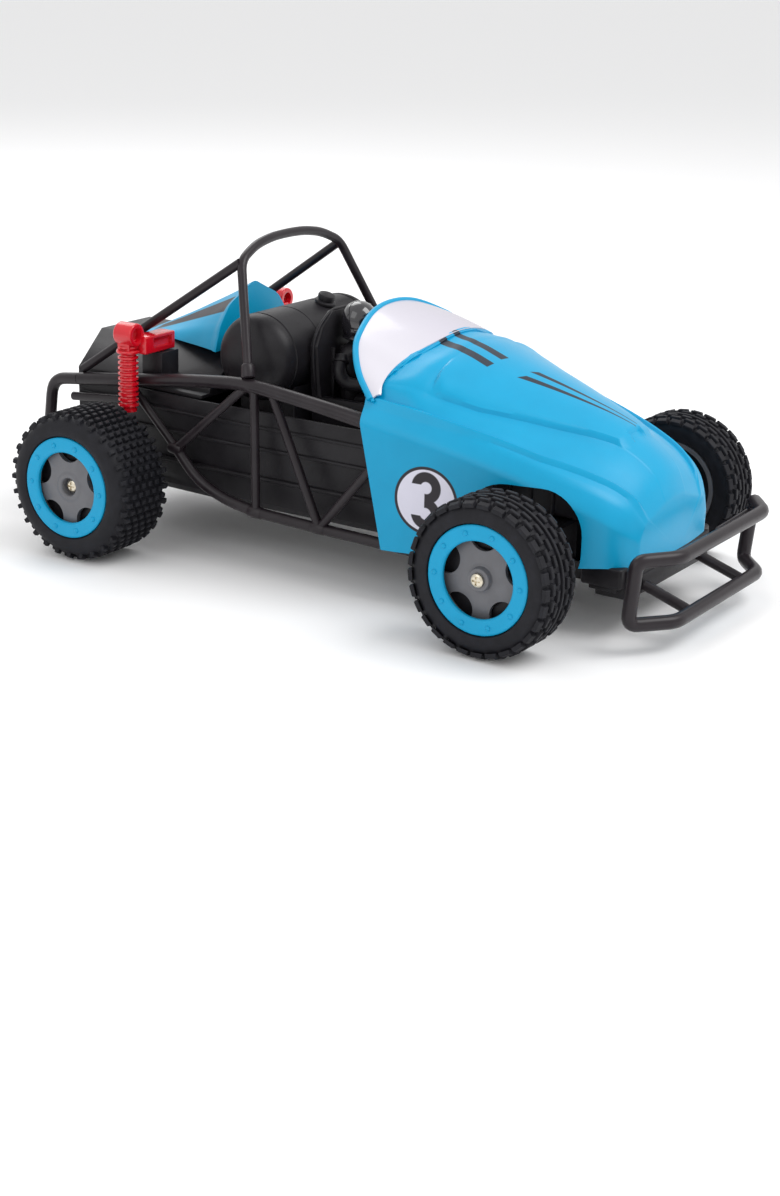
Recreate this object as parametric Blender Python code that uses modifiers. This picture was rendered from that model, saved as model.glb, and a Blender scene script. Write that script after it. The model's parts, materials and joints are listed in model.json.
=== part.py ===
"""A radio-controlled toy buggy: open frame, clip-on hood, geared rear axle and steered front wheels.

Units are metres with +Z up.  The front of the car faces -Y and its right side faces -X.
Sizes below are in millimetres measured from the ground (Z), the middle plane (X) and the
rear axle (Y); the function at() turns them into metres about the middle of the car.
"""
import math

import bmesh
import bpy
from mathutils import Matrix, Vector

MM = 0.001
RIGHT, LEFT = -1, 1
SIDE_NAME = {RIGHT: "right", LEFT: "left"}

# Driving dimensions, in millimetres
REAR_AXLE_TO_MIDDLE = 124.87     # the box's middle lies this far ahead of the rear axle
WHEELBASE = 242.2
REAR_TYRE_R = 38.6
FRONT_TYRE_R = 37.8
GAP = 0.3                        # clearance left between pieces that touch
RIM_R = 24.3
BEAD_RING_R = 26.0
BEAD_RING_BORE = 18.3
AXLE_R = 2.2
FRONT_AXLE_Y = -WHEELBASE
KINGPIN_X = 76.0
STEER_ARM = 16.0                 # kingpin to tie-rod pin
STEER_LOCK = math.radians(22)
STEER_PEG_R = 1.3
ROD_Z = 37.0
GEAR_TEETH = 36
PINION_TEETH = 12
GEAR_MODULE = 0.5
GEAR_SLACK = 0.35                # extra centre distance, so that teeth never rub
FLOOR_Z = 27.0                   # underside of the chassis tub
TUB_TOP = 80.0
HOOP_R = 2.4
RAIL_R = 3.4
STRUT_R = 2.3
BUMPER_R = 3.5
THIN_TUBE_R = 2.5                # thinner tubes are made with fewer sides

# Colours: name, colour, roughness, metallic
FINISHES = {
    "blue_plastic": ((0.008, 0.36, 0.70, 1), 0.35, 0.0),
    "black_plastic": ((0.018, 0.016, 0.019, 1), 0.45, 0.0),
    "frame_plastic": ((0.030, 0.024, 0.029, 1), 0.40, 0.0),
    "red_plastic": ((0.60, 0.004, 0.010, 1), 0.25, 0.0),
    "grey_plastic": ((0.20, 0.19, 0.22, 1), 0.40, 0.0),
    "tyre_rubber": ((0.020, 0.020, 0.024, 1), 0.70, 0.0),
    "screen_plastic": ((0.80, 0.77, 0.85, 1), 0.20, 0.0),
    "screw_steel": ((0.62, 0.57, 0.48, 1), 0.28, 1.0),
    "white_nylon": ((0.75, 0.75, 0.72, 1), 0.45, 0.0),
    "brass": ((0.65, 0.45, 0.16, 1), 0.30, 1.0),
    "motor_steel": ((0.55, 0.55, 0.57, 1), 0.32, 1.0),
    "battery_wrap": ((0.10, 0.35, 0.12, 1), 0.40, 0.0),
    "board_green": ((0.02, 0.18, 0.07, 1), 0.45, 0.0),
    "helmet_gloss": ((0.010, 0.009, 0.011, 1), 0.12, 0.0),
}


# ---------------------------------------------------------------- scene set-up
def clear_scene():
    for old in list(bpy.data.objects):
        bpy.data.objects.remove(old, do_unlink=True)


def new_collection(name):
    group = bpy.data.collections.new(name)
    bpy.context.scene.collection.children.link(group)
    return group


def make_finish(name, colour, roughness, metallic):
    finish = bpy.data.materials.new(name)
    finish.use_nodes = True
    shader = finish.node_tree.nodes["Principled BSDF"]
    shader.inputs["Base Color"].default_value = colour
    shader.inputs["Roughness"].default_value = roughness
    shader.inputs["Metallic"].default_value = metallic
    finish.diffuse_color = colour
    return finish


clear_scene()
CAR = new_collection("remote_control_car")
CUTTERS = new_collection("cutters")


def at(x, y, z):
    """Millimetres about the rear axle's foot, as metres about the car's middle."""
    return Vector((x, y + REAR_AXLE_TO_MIDDLE, z)) * MM


def finish_of(part, finish):
    """Give a sub-part its own copy of a finish."""
    part.data.materials.clear()
    part.data.materials.append(make_finish(part.name + "_" + finish, *FINISHES[finish]))
    return part


def link(mesh, name, group=None):
    part = bpy.data.objects.new(name, mesh)
    (group or CAR).objects.link(part)
    return part


# ---------------------------------------------------------------- shape helpers
def box_mesh(name, low, high):
    """A block between two corners, its mesh centred on its own origin."""
    body = bmesh.new()
    bmesh.ops.create_cube(body, size=1)
    size = [(high[i] - low[i]) * MM for i in range(3)]
    bmesh.ops.scale(body, vec=size, verts=body.verts)
    mesh = bpy.data.meshes.new(name)
    body.to_mesh(mesh)
    body.free()
    return mesh


def block(name, low, high, finish=None, round_by=0.0, group=None):
    part = link(box_mesh(name, low, high), name, group)
    part.location = at(*[(low[i] + high[i]) / 2 for i in range(3)])
    if round_by:
        bevel = part.modifiers.new("round", 'BEVEL')
        bevel.width = round_by * MM
        bevel.segments = 2
        bevel.limit_method = 'ANGLE'
    if finish:
        finish_of(part, finish)
    return part


def rod(name, start, end, radius, finish=None, sides=16, group=None):
    """A straight round bar between two points."""
    body = bmesh.new()
    a, b = at(*start), at(*end)
    bmesh.ops.create_cone(body, cap_ends=True, segments=sides, radius1=radius * MM,
                          radius2=radius * MM, depth=(b - a).length)
    mesh = bpy.data.meshes.new(name)
    body.to_mesh(mesh)
    body.free()
    part = link(mesh, name, group)
    part.location = (a + b) / 2
    part.rotation_mode = 'QUATERNION'
    part.rotation_quaternion = Vector((0, 0, 1)).rotation_difference(b - a)
    if finish:
        finish_of(part, finish)
    return part


def turned(name, profile, finish, side=LEFT, axle_y=0.0, axle_z=0.0, steps=24, ring=False):
    """Spin an outline of (radius, distance out along the axle) about a line along X."""
    outline = list(profile)
    area = sum(r0 * h1 - r1 * h0 for (r0, h0), (r1, h1) in zip(outline, outline[1:] + outline[:1]))
    if area > 0:
        outline.reverse()
    mesh = bpy.data.meshes.new(name)
    count = len(outline)
    edges = [(i, i + 1) for i in range(count - 1)]
    if ring:
        edges.append((count - 1, 0))
    mesh.from_pydata([(r * MM, 0, h * MM) for r, h in outline], edges, [])
    part = link(mesh, name)
    part.location = at(0, axle_y, axle_z)
    part.rotation_euler = (0, side * math.pi / 2, 0)
    screw = part.modifiers.new("turn", 'SCREW')
    screw.axis = 'Z'
    screw.angle = 2 * math.pi
    screw.steps = screw.render_steps = steps
    screw.use_merge_vertices = True
    screw.merge_threshold = 0.00001
    screw.use_smooth_shade = False
    finish_of(part, finish)
    return part


def turned_upright(name, profile, x, y, steps, finish):
    """Spin an outline of (radius, height), given from its top down, about a standing line."""
    mesh = bpy.data.meshes.new(name)
    mesh.from_pydata([(r * MM, 0, z * MM) for r, z in profile],
                     [(i, i + 1) for i in range(len(profile) - 1)], [])
    part = link(mesh, name)
    part.location = at(x, y, 0)
    screw = part.modifiers.new("turn", 'SCREW')
    screw.axis = 'Z'
    screw.steps = screw.render_steps = steps
    screw.use_merge_vertices = True
    screw.merge_threshold = 0.00001
    screw.use_smooth_shade = False
    return finish_of(part, finish)


def arc_path(points, bend):
    """Points of a path whose corners are rounded with short arcs of the given size."""
    path = [Vector(points[0])]
    for before, corner, after in zip(points, points[1:], points[2:]):
        corner = Vector(corner)
        into = (corner - Vector(before)).normalized()
        out = (Vector(after) - corner).normalized()
        reach = min(bend, (corner - Vector(before)).length * 0.45, (Vector(after) - corner).length * 0.45)
        if into.angle(out) < 0.12:
            path.append(corner)
            continue
        start, end = corner - into * reach, corner + out * reach
        for step in range(4):
            t = step / 3
            path.append(start * (1 - t) ** 2 + corner * 2 * t * (1 - t) + end * t ** 2)
    path.append(Vector(points[-1]))
    return path


def tube(name, points, radius, bend=8.0, closed=False, group=None):
    """A bent round tube as a closed mesh, with its caps welded on."""
    if closed:
        looped = [points[-1]] + list(points) + [points[0]]
        path = arc_path(looped, bend)[1:-1]
    else:
        path = arc_path(points, bend)
    curve = bpy.data.curves.new(name, 'CURVE')
    curve.dimensions = '3D'
    curve.bevel_depth = radius * MM
    curve.bevel_resolution = 1 if radius < THIN_TUBE_R else 2
    curve.use_fill_caps = True
    spline = curve.splines.new('POLY')
    spline.points.add(len(path) - 1)
    for slot, point in zip(spline.points, path):
        slot.co = (*at(*point), 1)
    spline.use_cyclic_u = closed
    guide = link(curve, name + "_line", group)
    bpy.context.view_layer.update()
    evaluated = guide.evaluated_get(bpy.context.evaluated_depsgraph_get())
    mesh = bpy.data.meshes.new_from_object(evaluated)
    mesh.name = name
    body = bmesh.new()
    body.from_mesh(mesh)
    bmesh.ops.remove_doubles(body, verts=body.verts, dist=0.000005)
    bmesh.ops.recalc_face_normals(body, faces=body.faces)
    body.to_mesh(mesh)
    body.free()
    part = link(mesh, name, group)
    part.matrix_world = guide.matrix_world
    bpy.data.objects.remove(guide, do_unlink=True)
    return part


def loft(name, rings, group=None, capped=True):
    """Join rings of points, each the same count, into one skin; the ends may be capped."""
    body = bmesh.new()
    rows = [[body.verts.new(at(*point)) for point in ring] for ring in rings]
    count = len(rows[0])
    for lower, upper in zip(rows, rows[1:]):
        for i in range(count):
            j = (i + 1) % count
            body.faces.new((lower[i], lower[j], upper[j], upper[i]))
    if capped:
        body.faces.new(rows[0])
        body.faces.new(rows[-1])
    bmesh.ops.recalc_face_normals(body, faces=body.faces)
    mesh = bpy.data.meshes.new(name)
    body.to_mesh(mesh)
    body.free()
    return link(mesh, name, group)


def as_tool(part):
    """Move a shape to the tools' collection and keep it out of the finished model."""
    for group in list(part.users_collection):
        group.objects.unlink(part)
    CUTTERS.objects.link(part)
    part.hide_render = True
    part.display_type = 'WIRE'
    return part


def combine(part, operation, tools):
    for tool in tools:
        as_tool(tool)
        step = part.modifiers.new(operation.lower(), 'BOOLEAN')
        step.operation = operation
        step.solver = 'EXACT'
        step.object = tool
    return part


def cut(part, *tools):
    return combine(part, 'DIFFERENCE', tools)


def add(part, *tools):
    return combine(part, 'UNION', tools)


def mirrored_name(base, side):
    """A left or right piece's own name."""
    return base + "_" + SIDE_NAME[side]


# ---------------------------------------------------------------- wheels
REAR_TYRE = [(24.6, 77.3), (31.0, 74.6), (36.6, 76.0), (38.6, 79.5), (38.6, 105.5),
             (36.8, 109.4), (26.3, 111.2), (26.3, 108.6), (24.6, 108.6)]
REAR_RIM = [(2.5, 88.0), (5.2, 88.0), (5.2, 103.5), (21.8, 103.5), (21.8, 77.6), (RIM_R, 77.6),
            (RIM_R, 108.3), (4.4, 108.3), (4.4, 104.5), (2.5, 104.5)]
REAR_RING = [(BEAD_RING_BORE, 108.9), (BEAD_RING_R, 108.9), (BEAD_RING_R, 111.6),
             (BEAD_RING_BORE, 111.6)]
FRONT_TYRE = [(24.6, 88.7), (31.0, 86.0), (36.0, 87.2), (37.8, 90.4), (37.8, 107.0),
              (36.0, 110.8), (26.3, 112.2), (26.3, 109.2), (24.6, 109.2)]
FRONT_RIM = [(2.6, 90.0), (5.2, 90.0), (5.2, 103.8), (21.8, 103.8), (21.8, 88.9), (RIM_R, 88.9),
             (RIM_R, 107.0), (5.8, 107.0), (5.4, 110.4), (2.6, 110.4)]
FRONT_RING = [(BEAD_RING_BORE, 109.5), (BEAD_RING_R, 109.5), (BEAD_RING_R, 112.5),
              (BEAD_RING_BORE, 112.5)]
SPOKE_WINDOWS = 5
WINDOW_R = 7.6                   # each window is a round bite out of the hub's edge
WINDOW_AT = 20.4
WINDOW_X = (102.5, 112.0)


def rim_with_windows(name, profile, side, axle_y, axle_z):
    rim = turned(name, profile, "grey_plastic", side, axle_y, axle_z, ring=True)
    windows = []
    for i in range(SPOKE_WINDOWS):
        angle = math.radians(90 + i * 360 / SPOKE_WINDOWS)
        y = axle_y + WINDOW_AT * math.cos(angle)
        z = axle_z + WINDOW_AT * math.sin(angle)
        windows.append(rod(f"{name}_window_{i}", (side * WINDOW_X[0], y, z), (side * WINDOW_X[1], y, z),
                           WINDOW_R, sides=16))
    return cut(rim, *windows)


def wheel_screw(name, side, axle_y, axle_z, head_from, head_to, shank_from):
    profile = [(0, head_to), (2.6, head_to), (3.4, head_to - 0.9), (3.4, head_from), (1.2, head_from),
               (1.2, shank_from), (0, shank_from)]
    return turned(name, profile, "screw_steel", side, axle_y, axle_z, steps=12)


def make_wheels():
    for side in (RIGHT, LEFT):
        tag = "_" + SIDE_NAME[side]
        turned("rear_tyre" + tag, REAR_TYRE, "tyre_rubber", side, 0, REAR_TYRE_R, steps=32, ring=True)
        rim_with_windows("rear_rim" + tag, REAR_RIM, side, 0, REAR_TYRE_R)
        turned("rear_bead_ring" + tag, REAR_RING, "blue_plastic", side, 0, REAR_TYRE_R, ring=True)
        wheel_screw("rear_wheel_screw" + tag, side, 0, REAR_TYRE_R, 104.8, 106.7, 98.0)
        place = (side, FRONT_AXLE_Y, FRONT_TYRE_R)
        turned("front_tyre" + tag, FRONT_TYRE, "tyre_rubber", *place, steps=32, ring=True)
        rim_with_windows("front_rim" + tag, FRONT_RIM, *place)
        turned("front_bead_ring" + tag, FRONT_RING, "blue_plastic", *place, ring=True)
        wheel_screw("front_wheel_screw" + tag, *place, 110.7, 112.0, 104.0)


# ---------------------------------------------------------------- rear axle and drive
REAR_AXLE_END = 104.1
AXLE_BORE_R, AXLE_BORE_FROM = 1.6, 97.0
GEAR_X = (7.0, 11.0)
PINION_TILT = math.radians(48)   # of the pinion's centre, ahead of the axle and up
CENTRES = GEAR_MODULE * (GEAR_TEETH + PINION_TEETH) / 2 + GEAR_SLACK
PINION_Y = -CENTRES * math.cos(PINION_TILT)
PINION_Z = REAR_TYRE_R + CENTRES * math.sin(PINION_TILT)
MOTOR_R = 9.5


def gear(name, teeth, bore, centre, phase, finish):
    """A spur gear with straight-sided teeth, its bore through, facing along X."""
    pitch_r = GEAR_MODULE * teeth / 2
    tip, root = pitch_r + GEAR_MODULE * 0.8, pitch_r - GEAR_MODULE * 1.05
    step = 2 * math.pi / teeth
    outline = []
    for tooth in range(teeth):
        middle = phase + tooth * step
        for radius, half in ((root, 0.33), (tip, 0.12)):
            outline.append((radius, middle - half * step))
        for radius, half in ((tip, 0.12), (root, 0.33)):
            outline.append((radius, middle + half * step))
    rings = []
    for x in GEAR_X:
        rings.append([(x, centre[0] + r * math.cos(a), centre[1] + r * math.sin(a)) for r, a in outline])
    part = loft(name, rings)
    finish_of(part, finish)
    return cut(part, rod(name + "_bore", (GEAR_X[0] - 2, *centre), (GEAR_X[1] + 2, *centre), bore))


def make_drive():
    outer_half = [(0, AXLE_BORE_FROM), (AXLE_BORE_R, AXLE_BORE_FROM), (AXLE_BORE_R, REAR_AXLE_END),
                  (AXLE_R, REAR_AXLE_END)]
    turned("rear_axle", outer_half + [(r, -h) for r, h in reversed(outer_half)], "motor_steel",
           LEFT, 0, REAR_TYRE_R, steps=16)
    centre = (0.0, REAR_TYRE_R)
    toward = math.pi - PINION_TILT
    gear("axle_gear", GEAR_TEETH, AXLE_R + GAP, centre, toward, "white_nylon")
    # a gap of the pinion faces the axle when its tooth is half a step away
    gear("motor_pinion", PINION_TEETH, 1.3, (PINION_Y, PINION_Z),
         toward + math.pi + math.pi / PINION_TEETH, "brass")
    motor = rod("drive_motor", (-24, PINION_Y, PINION_Z), (4.5, PINION_Y, PINION_Z), MOTOR_R,
                "motor_steel", sides=24)
    add(motor, rod("motor_boss", (4, PINION_Y, PINION_Z), (5.6, PINION_Y, PINION_Z), 3.0),
        rod("motor_shaft", (5, PINION_Y, PINION_Z), (12.5, PINION_Y, PINION_Z), 1.0, sides=12),
        rod("motor_tail", (-26, PINION_Y, PINION_Z), (-23, PINION_Y, PINION_Z), 4.0))


CASE_LOW, CASE_HIGH = (-29, -27, 29.6), (17, 18, 64.5)
CASE_WALL = 1.8


def make_gear_case():
    """A cover over the motor and gears, open underneath, slotted for the axle."""
    case = block("gearbox_case", CASE_LOW, CASE_HIGH, "black_plastic")
    inner_low = [c + CASE_WALL for c in CASE_LOW[:2]] + [CASE_LOW[2] - 3]
    inner_high = [c - CASE_WALL for c in CASE_HIGH]
    slot = block("case_axle_slot", (-40, -3, 20), (30, 3, REAR_TYRE_R + 3))
    return cut(case, block("case_inside", inner_low, inner_high), slot)


# ---------------------------------------------------------------- chassis
TUB_REAR, TUB_WAIST, TUB_FRONT = 44.0, -45.0, -158.0
TUB_SECTION = [(46.0, FLOOR_Z), (50.0, 31.0), (53.0, 60.0), (54.5, 61.5), (55.0, TUB_TOP)]
TUB_WALL = 1.9
SWITCH_X, SWITCH_Y = -37.0, -22.0
DOOR = {"half_x": 26.0, "rear": -62.0, "front": -122.0}


TUB_TAIL_SQUEEZE = 0.88          # the tub's width at its rear end, against the middle


def tub_ring(y, inset=0.0, floor=FLOOR_Z, top=TUB_TOP):
    squeeze = TUB_TAIL_SQUEEZE if y > 0 else 1.0
    half = [(x * squeeze - inset, max(z, floor)) for x, z in TUB_SECTION]
    half[0] = (half[0][0], floor)
    half[-1] = (half[-1][0], top)
    right = [(-x, y, z) for x, z in half]
    left = [(x, y, z) for x, z in reversed(half)]
    return right + left


def make_tub():
    tub = loft("chassis_tub", [tub_ring(TUB_REAR), tub_ring(TUB_WAIST), tub_ring(TUB_FRONT)])
    finish_of(tub, "black_plastic")
    inside = loft("tub_inside", [tub_ring(TUB_REAR - TUB_WALL, TUB_WALL, FLOOR_Z + TUB_WALL, TUB_TOP + 3),
                                 tub_ring(TUB_WAIST, TUB_WALL, FLOOR_Z + TUB_WALL, TUB_TOP + 3),
                                 tub_ring(TUB_FRONT + TUB_WALL, TUB_WALL, FLOOR_Z + TUB_WALL, TUB_TOP + 3)])
    axle_hole = rod("tub_axle_hole", (-70, 0, REAR_TYRE_R), (70, 0, REAR_TYRE_R), AXLE_R + 0.8)
    door_hole = block("tub_door_hole", (-DOOR["half_x"], DOOR["front"], FLOOR_Z - 2),
                      (DOOR["half_x"], DOOR["rear"], FLOOR_Z + 4))
    switch_hole = block("tub_switch_hole", (SWITCH_X - 2.6, SWITCH_Y - 5, FLOOR_Z - 2),
                        (SWITCH_X + 2.6, SWITCH_Y + 8.5, FLOOR_Z + 4))
    return cut(tub, inside, axle_hole, door_hole, switch_hole)


TRAY = {"half_x": 31.0, "rear": -158.4, "front": -286.0, "low": 20.0, "rim": 28.8}
BEAM_Y = (-249.0, -235.5)


def make_nose_tray():
    """The shallow floor under the hood that carries the servo and the front beam."""
    tray = block("nose_tray", (-TRAY["half_x"], TRAY["front"], TRAY["low"]),
                 (TRAY["half_x"], TRAY["rear"], TRAY["rim"]), "black_plastic")
    inside = block("tray_inside", (-TRAY["half_x"] + 2, -262, TRAY["low"] + 2.2),
                   (TRAY["half_x"] - 2, TRAY["rear"] - 2, TRAY["rim"] + 3))
    snout = block("tray_snout", (-44, TRAY["front"] + 0.5, 19), (44, -268, 33))
    return cut(add(tray, snout), inside)


def make_front_beam():
    """The cross beam whose forked ends hold both kingpins."""
    y0, y1 = BEAM_Y
    beam = block("front_beam", (-28.6, y0, TRAY["low"] + 2.5), (28.6, y1, 49), "black_plastic")
    arms = []
    holes = []
    for side in (RIGHT, LEFT):
        low, high = sorted((side * 25, side * (KINGPIN_X + 5)))
        middle = (y0 + y1) / 2
        for arm, under, over in (("upper", 46.3, 49.0), ("lower", 29.2, 31.9)):
            arms.append(block(mirrored_name(f"beam_{arm}_arm", side), (low, middle - 5, under),
                              (high, middle + 5, over)))
        pin = side * KINGPIN_X
        holes.append(rod(mirrored_name("kingpin_hole", side), (pin, FRONT_AXLE_Y, 22),
                         (pin, FRONT_AXLE_Y, 55), 2.4))
    return cut(add(beam, *arms), *holes)


def make_knuckle(side):
    """Kingpin, stub axle and steering arm in one moulding."""
    pin = side * KINGPIN_X
    name = mirrored_name("steering_knuckle", side)
    low, high = sorted((side * (KINGPIN_X - 4.5), side * (KINGPIN_X + 5.5)))
    body = block(name, (low, FRONT_AXLE_Y - 5, 32.3), (high, FRONT_AXLE_Y + 5, 45.9), "black_plastic")
    kingpin = rod(name + "_pin", (pin, FRONT_AXLE_Y, 28.8), (pin, FRONT_AXLE_Y, 49.6), 1.9)
    stub = rod(name + "_stub", (side * 78, FRONT_AXLE_Y, FRONT_TYRE_R),
               (side * 110.1, FRONT_AXLE_Y, FRONT_TYRE_R), AXLE_R)
    arm = block(name + "_arm", (pin - 2.6, FRONT_AXLE_Y, 40.2),
                (pin + 2.6, FRONT_AXLE_Y + STEER_ARM + 2.6, 43))
    peg = rod(name + "_peg", (pin, FRONT_AXLE_Y + STEER_ARM, ROD_Z - 0.8),
              (pin, FRONT_AXLE_Y + STEER_ARM, 41), STEER_PEG_R, sides=12)
    bore = rod(name + "_bore", (side * 103, FRONT_AXLE_Y, FRONT_TYRE_R),
               (side * 112, FRONT_AXLE_Y, FRONT_TYRE_R), 1.55, sides=12)
    return cut(add(body, kingpin, stub, arm, peg), bore)


def make_steering():
    """The tie rod, whose slots let the pegs swing fore and aft, and the servo with its arm."""
    rod_y = FRONT_AXLE_Y + STEER_ARM
    swing = STEER_ARM * (1 - math.cos(STEER_LOCK))
    near, far = STEER_PEG_R + 0.6, STEER_PEG_R + swing + 0.5
    wall, half_slot = 1.4, STEER_PEG_R + 0.45
    tie = block("tie_rod", (-KINGPIN_X - 4, rod_y - far - wall, ROD_Z),
                (KINGPIN_X + 4, rod_y + far + wall, ROD_Z + 2.7), "black_plastic")
    # the wheels' pegs swing forwards and the servo's peg swings back
    slots = [block(f"tie_rod_slot_{i}", (x - half_slot, rod_y - ahead, ROD_Z - 2),
                   (x + half_slot, rod_y + behind, ROD_Z + 5))
             for i, (x, ahead, behind) in enumerate(((-KINGPIN_X, far, near), (0, near, far),
                                                     (KINGPIN_X, far, near)))]
    cut(tie, *slots)
    servo_y = rod_y + STEER_ARM
    servo = block("steering_servo", (-14, servo_y - 9, TRAY["low"] + 2.5), (14, servo_y + 19, 38.4),
                  "black_plastic", 1.0)
    cut(servo, rod("servo_socket", (0, servo_y, 34), (0, servo_y, 42), 2.4))
    horn = rod("servo_arm", (0, servo_y, 34.6), (0, servo_y, 43), 2.0, "white_nylon")
    add(horn, block("servo_arm_bar", (-2.4, rod_y - 2.2, 40.3), (2.4, servo_y + 3, 43)),
        rod("servo_arm_peg", (0, rod_y, ROD_Z - 0.8), (0, rod_y, 41), STEER_PEG_R, sides=12))


# ---------------------------------------------------------------- battery, board, switch
def make_electrics():
    """The battery over its door, the board ahead of it, and the sliding switch."""
    block("battery_pack", (-23, -118, 30.2), (23, -68, 45.5), "battery_wrap", 3.0)
    block("circuit_board", (-22, -148, 32), (22, -127, 33.6), "board_green")
    door = block("battery_door", (-DOOR["half_x"] + 0.4, DOOR["front"] + 0.6, FLOOR_Z + 0.1),
                 (DOOR["half_x"] - 0.4, DOOR["rear"] - 0.4, FLOOR_Z + 1.8), "black_plastic")
    screw_at = (0, DOOR["rear"] - 5.5)
    cut(door, rod("door_screw_hole", (*screw_at, 20), (*screw_at, 34), 1.6, sides=12))
    screw = rod("battery_door_screw", (*screw_at, FLOOR_Z - 1.4), (*screw_at, FLOOR_Z - 0.2), 2.6,
                "screw_steel")
    add(screw, rod("door_screw_shank", (*screw_at, FLOOR_Z - 0.4), (*screw_at, FLOOR_Z + 2.6), 1.2,
                   sides=12))
    switch = block("power_switch", (SWITCH_X - 2.2, SWITCH_Y - 4.5, FLOOR_Z - 1.6),
                   (SWITCH_X + 2.2, SWITCH_Y, FLOOR_Z + 1.4), "black_plastic", 0.5)
    add(switch, block("power_switch_foot", (SWITCH_X - 4.5, SWITCH_Y - 6, FLOOR_Z + 2.4),
                      (SWITCH_X + 4.5, SWITCH_Y + 1.5, FLOOR_Z + 4)),
        block("power_switch_neck", (SWITCH_X - 1.6, SWITCH_Y - 4, FLOOR_Z + 1),
              (SWITCH_X + 1.6, SWITCH_Y - 0.5, FLOOR_Z + 3)))


# ---------------------------------------------------------------- frame tubes
def side_points(side, points):
    return [(side * x, y, z) for x, y, z in points]


UPPER_RAIL = [(54.3, 38.0, 79.9), (57.0, -8.0, 86.3), (61.2, -40.0, 91.4), (65.0, -80.0, 96.3),
              (64.0, -146.0, 88.7), (61.8, -176.0, 82.0)]
LOWER_RAIL = [(61.0, -32.0, 54.5), (62.0, -46.0, 40.5), (62.0, -63.5, 33.0), (62.5, -84.0, 30.0),
              (62.0, -123.0, 28.3), (61.0, -176.0, 26.8)]
STRUTS = {
    "upright": [(65.0, -84.0, 94.0), (62.5, -84.0, 30.0)],
    "front_strut": [(65.0, -95.0, 93.0), (62.0, -122.5, 28.5)],
    "nose_strut": [(62.0, -122.5, 28.5), (64.8, -149.0, 59.0), (63.5, -171.0, 84.5)],
    "rear_strut": [(64.0, -78.0, 94.0), (61.0, -32.0, 54.5)],
    "corner_strut": [(61.0, -32.0, 54.5), (57.0, -6.5, 75.0), (56.6, 4.0, 84.5)],
    "second_rail": [(52.5, 44.0, 69.3), (57.0, -6.5, 75.0)],
}


def make_side_frame(side):
    """Upper and lower rail with the struts between them, moulded in one piece."""
    name = mirrored_name("side_frame", side)
    frame = tube(name, side_points(side, UPPER_RAIL), RAIL_R)
    finish_of(frame, "frame_plastic")
    others = [tube(f"{name}_lower_rail", side_points(side, LOWER_RAIL), 2.8)]
    for strut, points in STRUTS.items():
        others.append(tube(f"{name}_{strut}", side_points(side, points), STRUT_R))
    return add(frame, *others)


REAR_LOOP = [(54.28, 38.4, 79.85), (52.3, 58.5, 76.8), (51.8, 62.3, 47.0)]


def make_rear_loop():
    """The tube round the back: it leaves the rails, bends down and crosses below."""
    points = side_points(RIGHT, REAR_LOOP) + side_points(LEFT, reversed(REAR_LOOP))
    return finish_of(tube("rear_loop", points, 3.2, bend=9), "frame_plastic")


HOOP = [(63.7, -79.4, 101.3), (43.9, -60.2, 152.6), (29.0, -58.4, 158.6), (14.5, -57.7, 160.8),
        (0.0, -57.5, 161.2)]


def make_hoop():
    points = side_points(RIGHT, HOOP) + side_points(LEFT, reversed(HOOP[:-1]))
    return finish_of(tube("roll_hoop", points, HOOP_R, bend=5), "frame_plastic")


def make_brace(side):
    start, end = (45.2, -54.6, 149.2), (53.0, 36.0, 86.0)
    brace = tube(mirrored_name("hoop_brace", side), side_points(side, [start, end]), HOOP_R)
    return finish_of(brace, "frame_plastic")


BUMPER_LOOP = [(65.6, -298.7, 46.2), (47.8, -311.7, 46.2), (-47.8, -311.7, 46.2), (-65.6, -298.7, 46.2),
               (-65.0, -296.0, 15.0), (-46.5, -311.6, 15.0), (46.5, -311.6, 15.0), (65.0, -296.0, 15.0)]


def make_bumper():
    bumper = tube("front_bumper", BUMPER_LOOP, BUMPER_R, bend=5, closed=True)
    finish_of(bumper, "frame_plastic")
    stays = []
    for side in (RIGHT, LEFT):
        stays.append(tube(mirrored_name("bumper_stay", side),
                          [(side * 30, -311, 15.5), (side * 30, -286.8, 23.5)], 2.6))
        stays.append(tube(mirrored_name("bumper_upper_stay", side),
                          [(side * 64, -298.2, 40), (side * 48.5, -288.6, 31.5)], 2.4))
    return add(bumper, *stays)


# ---------------------------------------------------------------- rear deck, tail, shocks
def make_deck():
    """The hipped cover over the rear of the tub, with a block under each shock's arm."""
    def ring(z, half_x, rear, front):
        return [(-half_x, front, z), (half_x, front, z), (half_x, rear, z), (-half_x, rear, z)]
    deck = loft("rear_deck", [ring(TUB_TOP + GAP, 46, 46, -42), ring(84, 46, 46, -42),
                              ring(100.3, 20.5, 51, -42)])
    finish_of(deck, "black_plastic")
    inside = loft("deck_inside", [ring(TUB_TOP - 2, 43.5, 43, -39.5), ring(82.5, 43.5, 43, -39.5),
                                  ring(98, 18.5, 47.5, -39.5)])
    blocks = []
    for side in (RIGHT, LEFT):
        low, high = sorted((side * 38.5, side * 52.5))
        blocks.append(block(mirrored_name("shock_seat", side), (low, -16, 86.0), (high, -3, 100.8)))
    plate_low, plate_high = TUB_TOP + GAP, 82.2
    plate = loft("deck_plate", [[(-half, y, plate_low), (half, y, plate_low), (half, y, plate_high),
                                 (-half, y, plate_high)] for y, half in ((-42, 53.0), (45.5, 46.5))])
    return cut(add(deck, plate, *blocks), inside)


TAIL_SECTIONS = [  # y, half width at base, base z, half width at shoulder, shoulder z, ridge z
    (-36.5, 33.0, 101.0, 20.5, 123.5, 133.5),
    (-20.0, 27.0, 101.0, 16.0, 116.0, 125.0),
    (0.0, 21.0, 101.0, 11.0, 108.5, 115.0),
    (26.0, 15.0, 100.9, 6.0, 101.6, 102.6),
]


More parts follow.
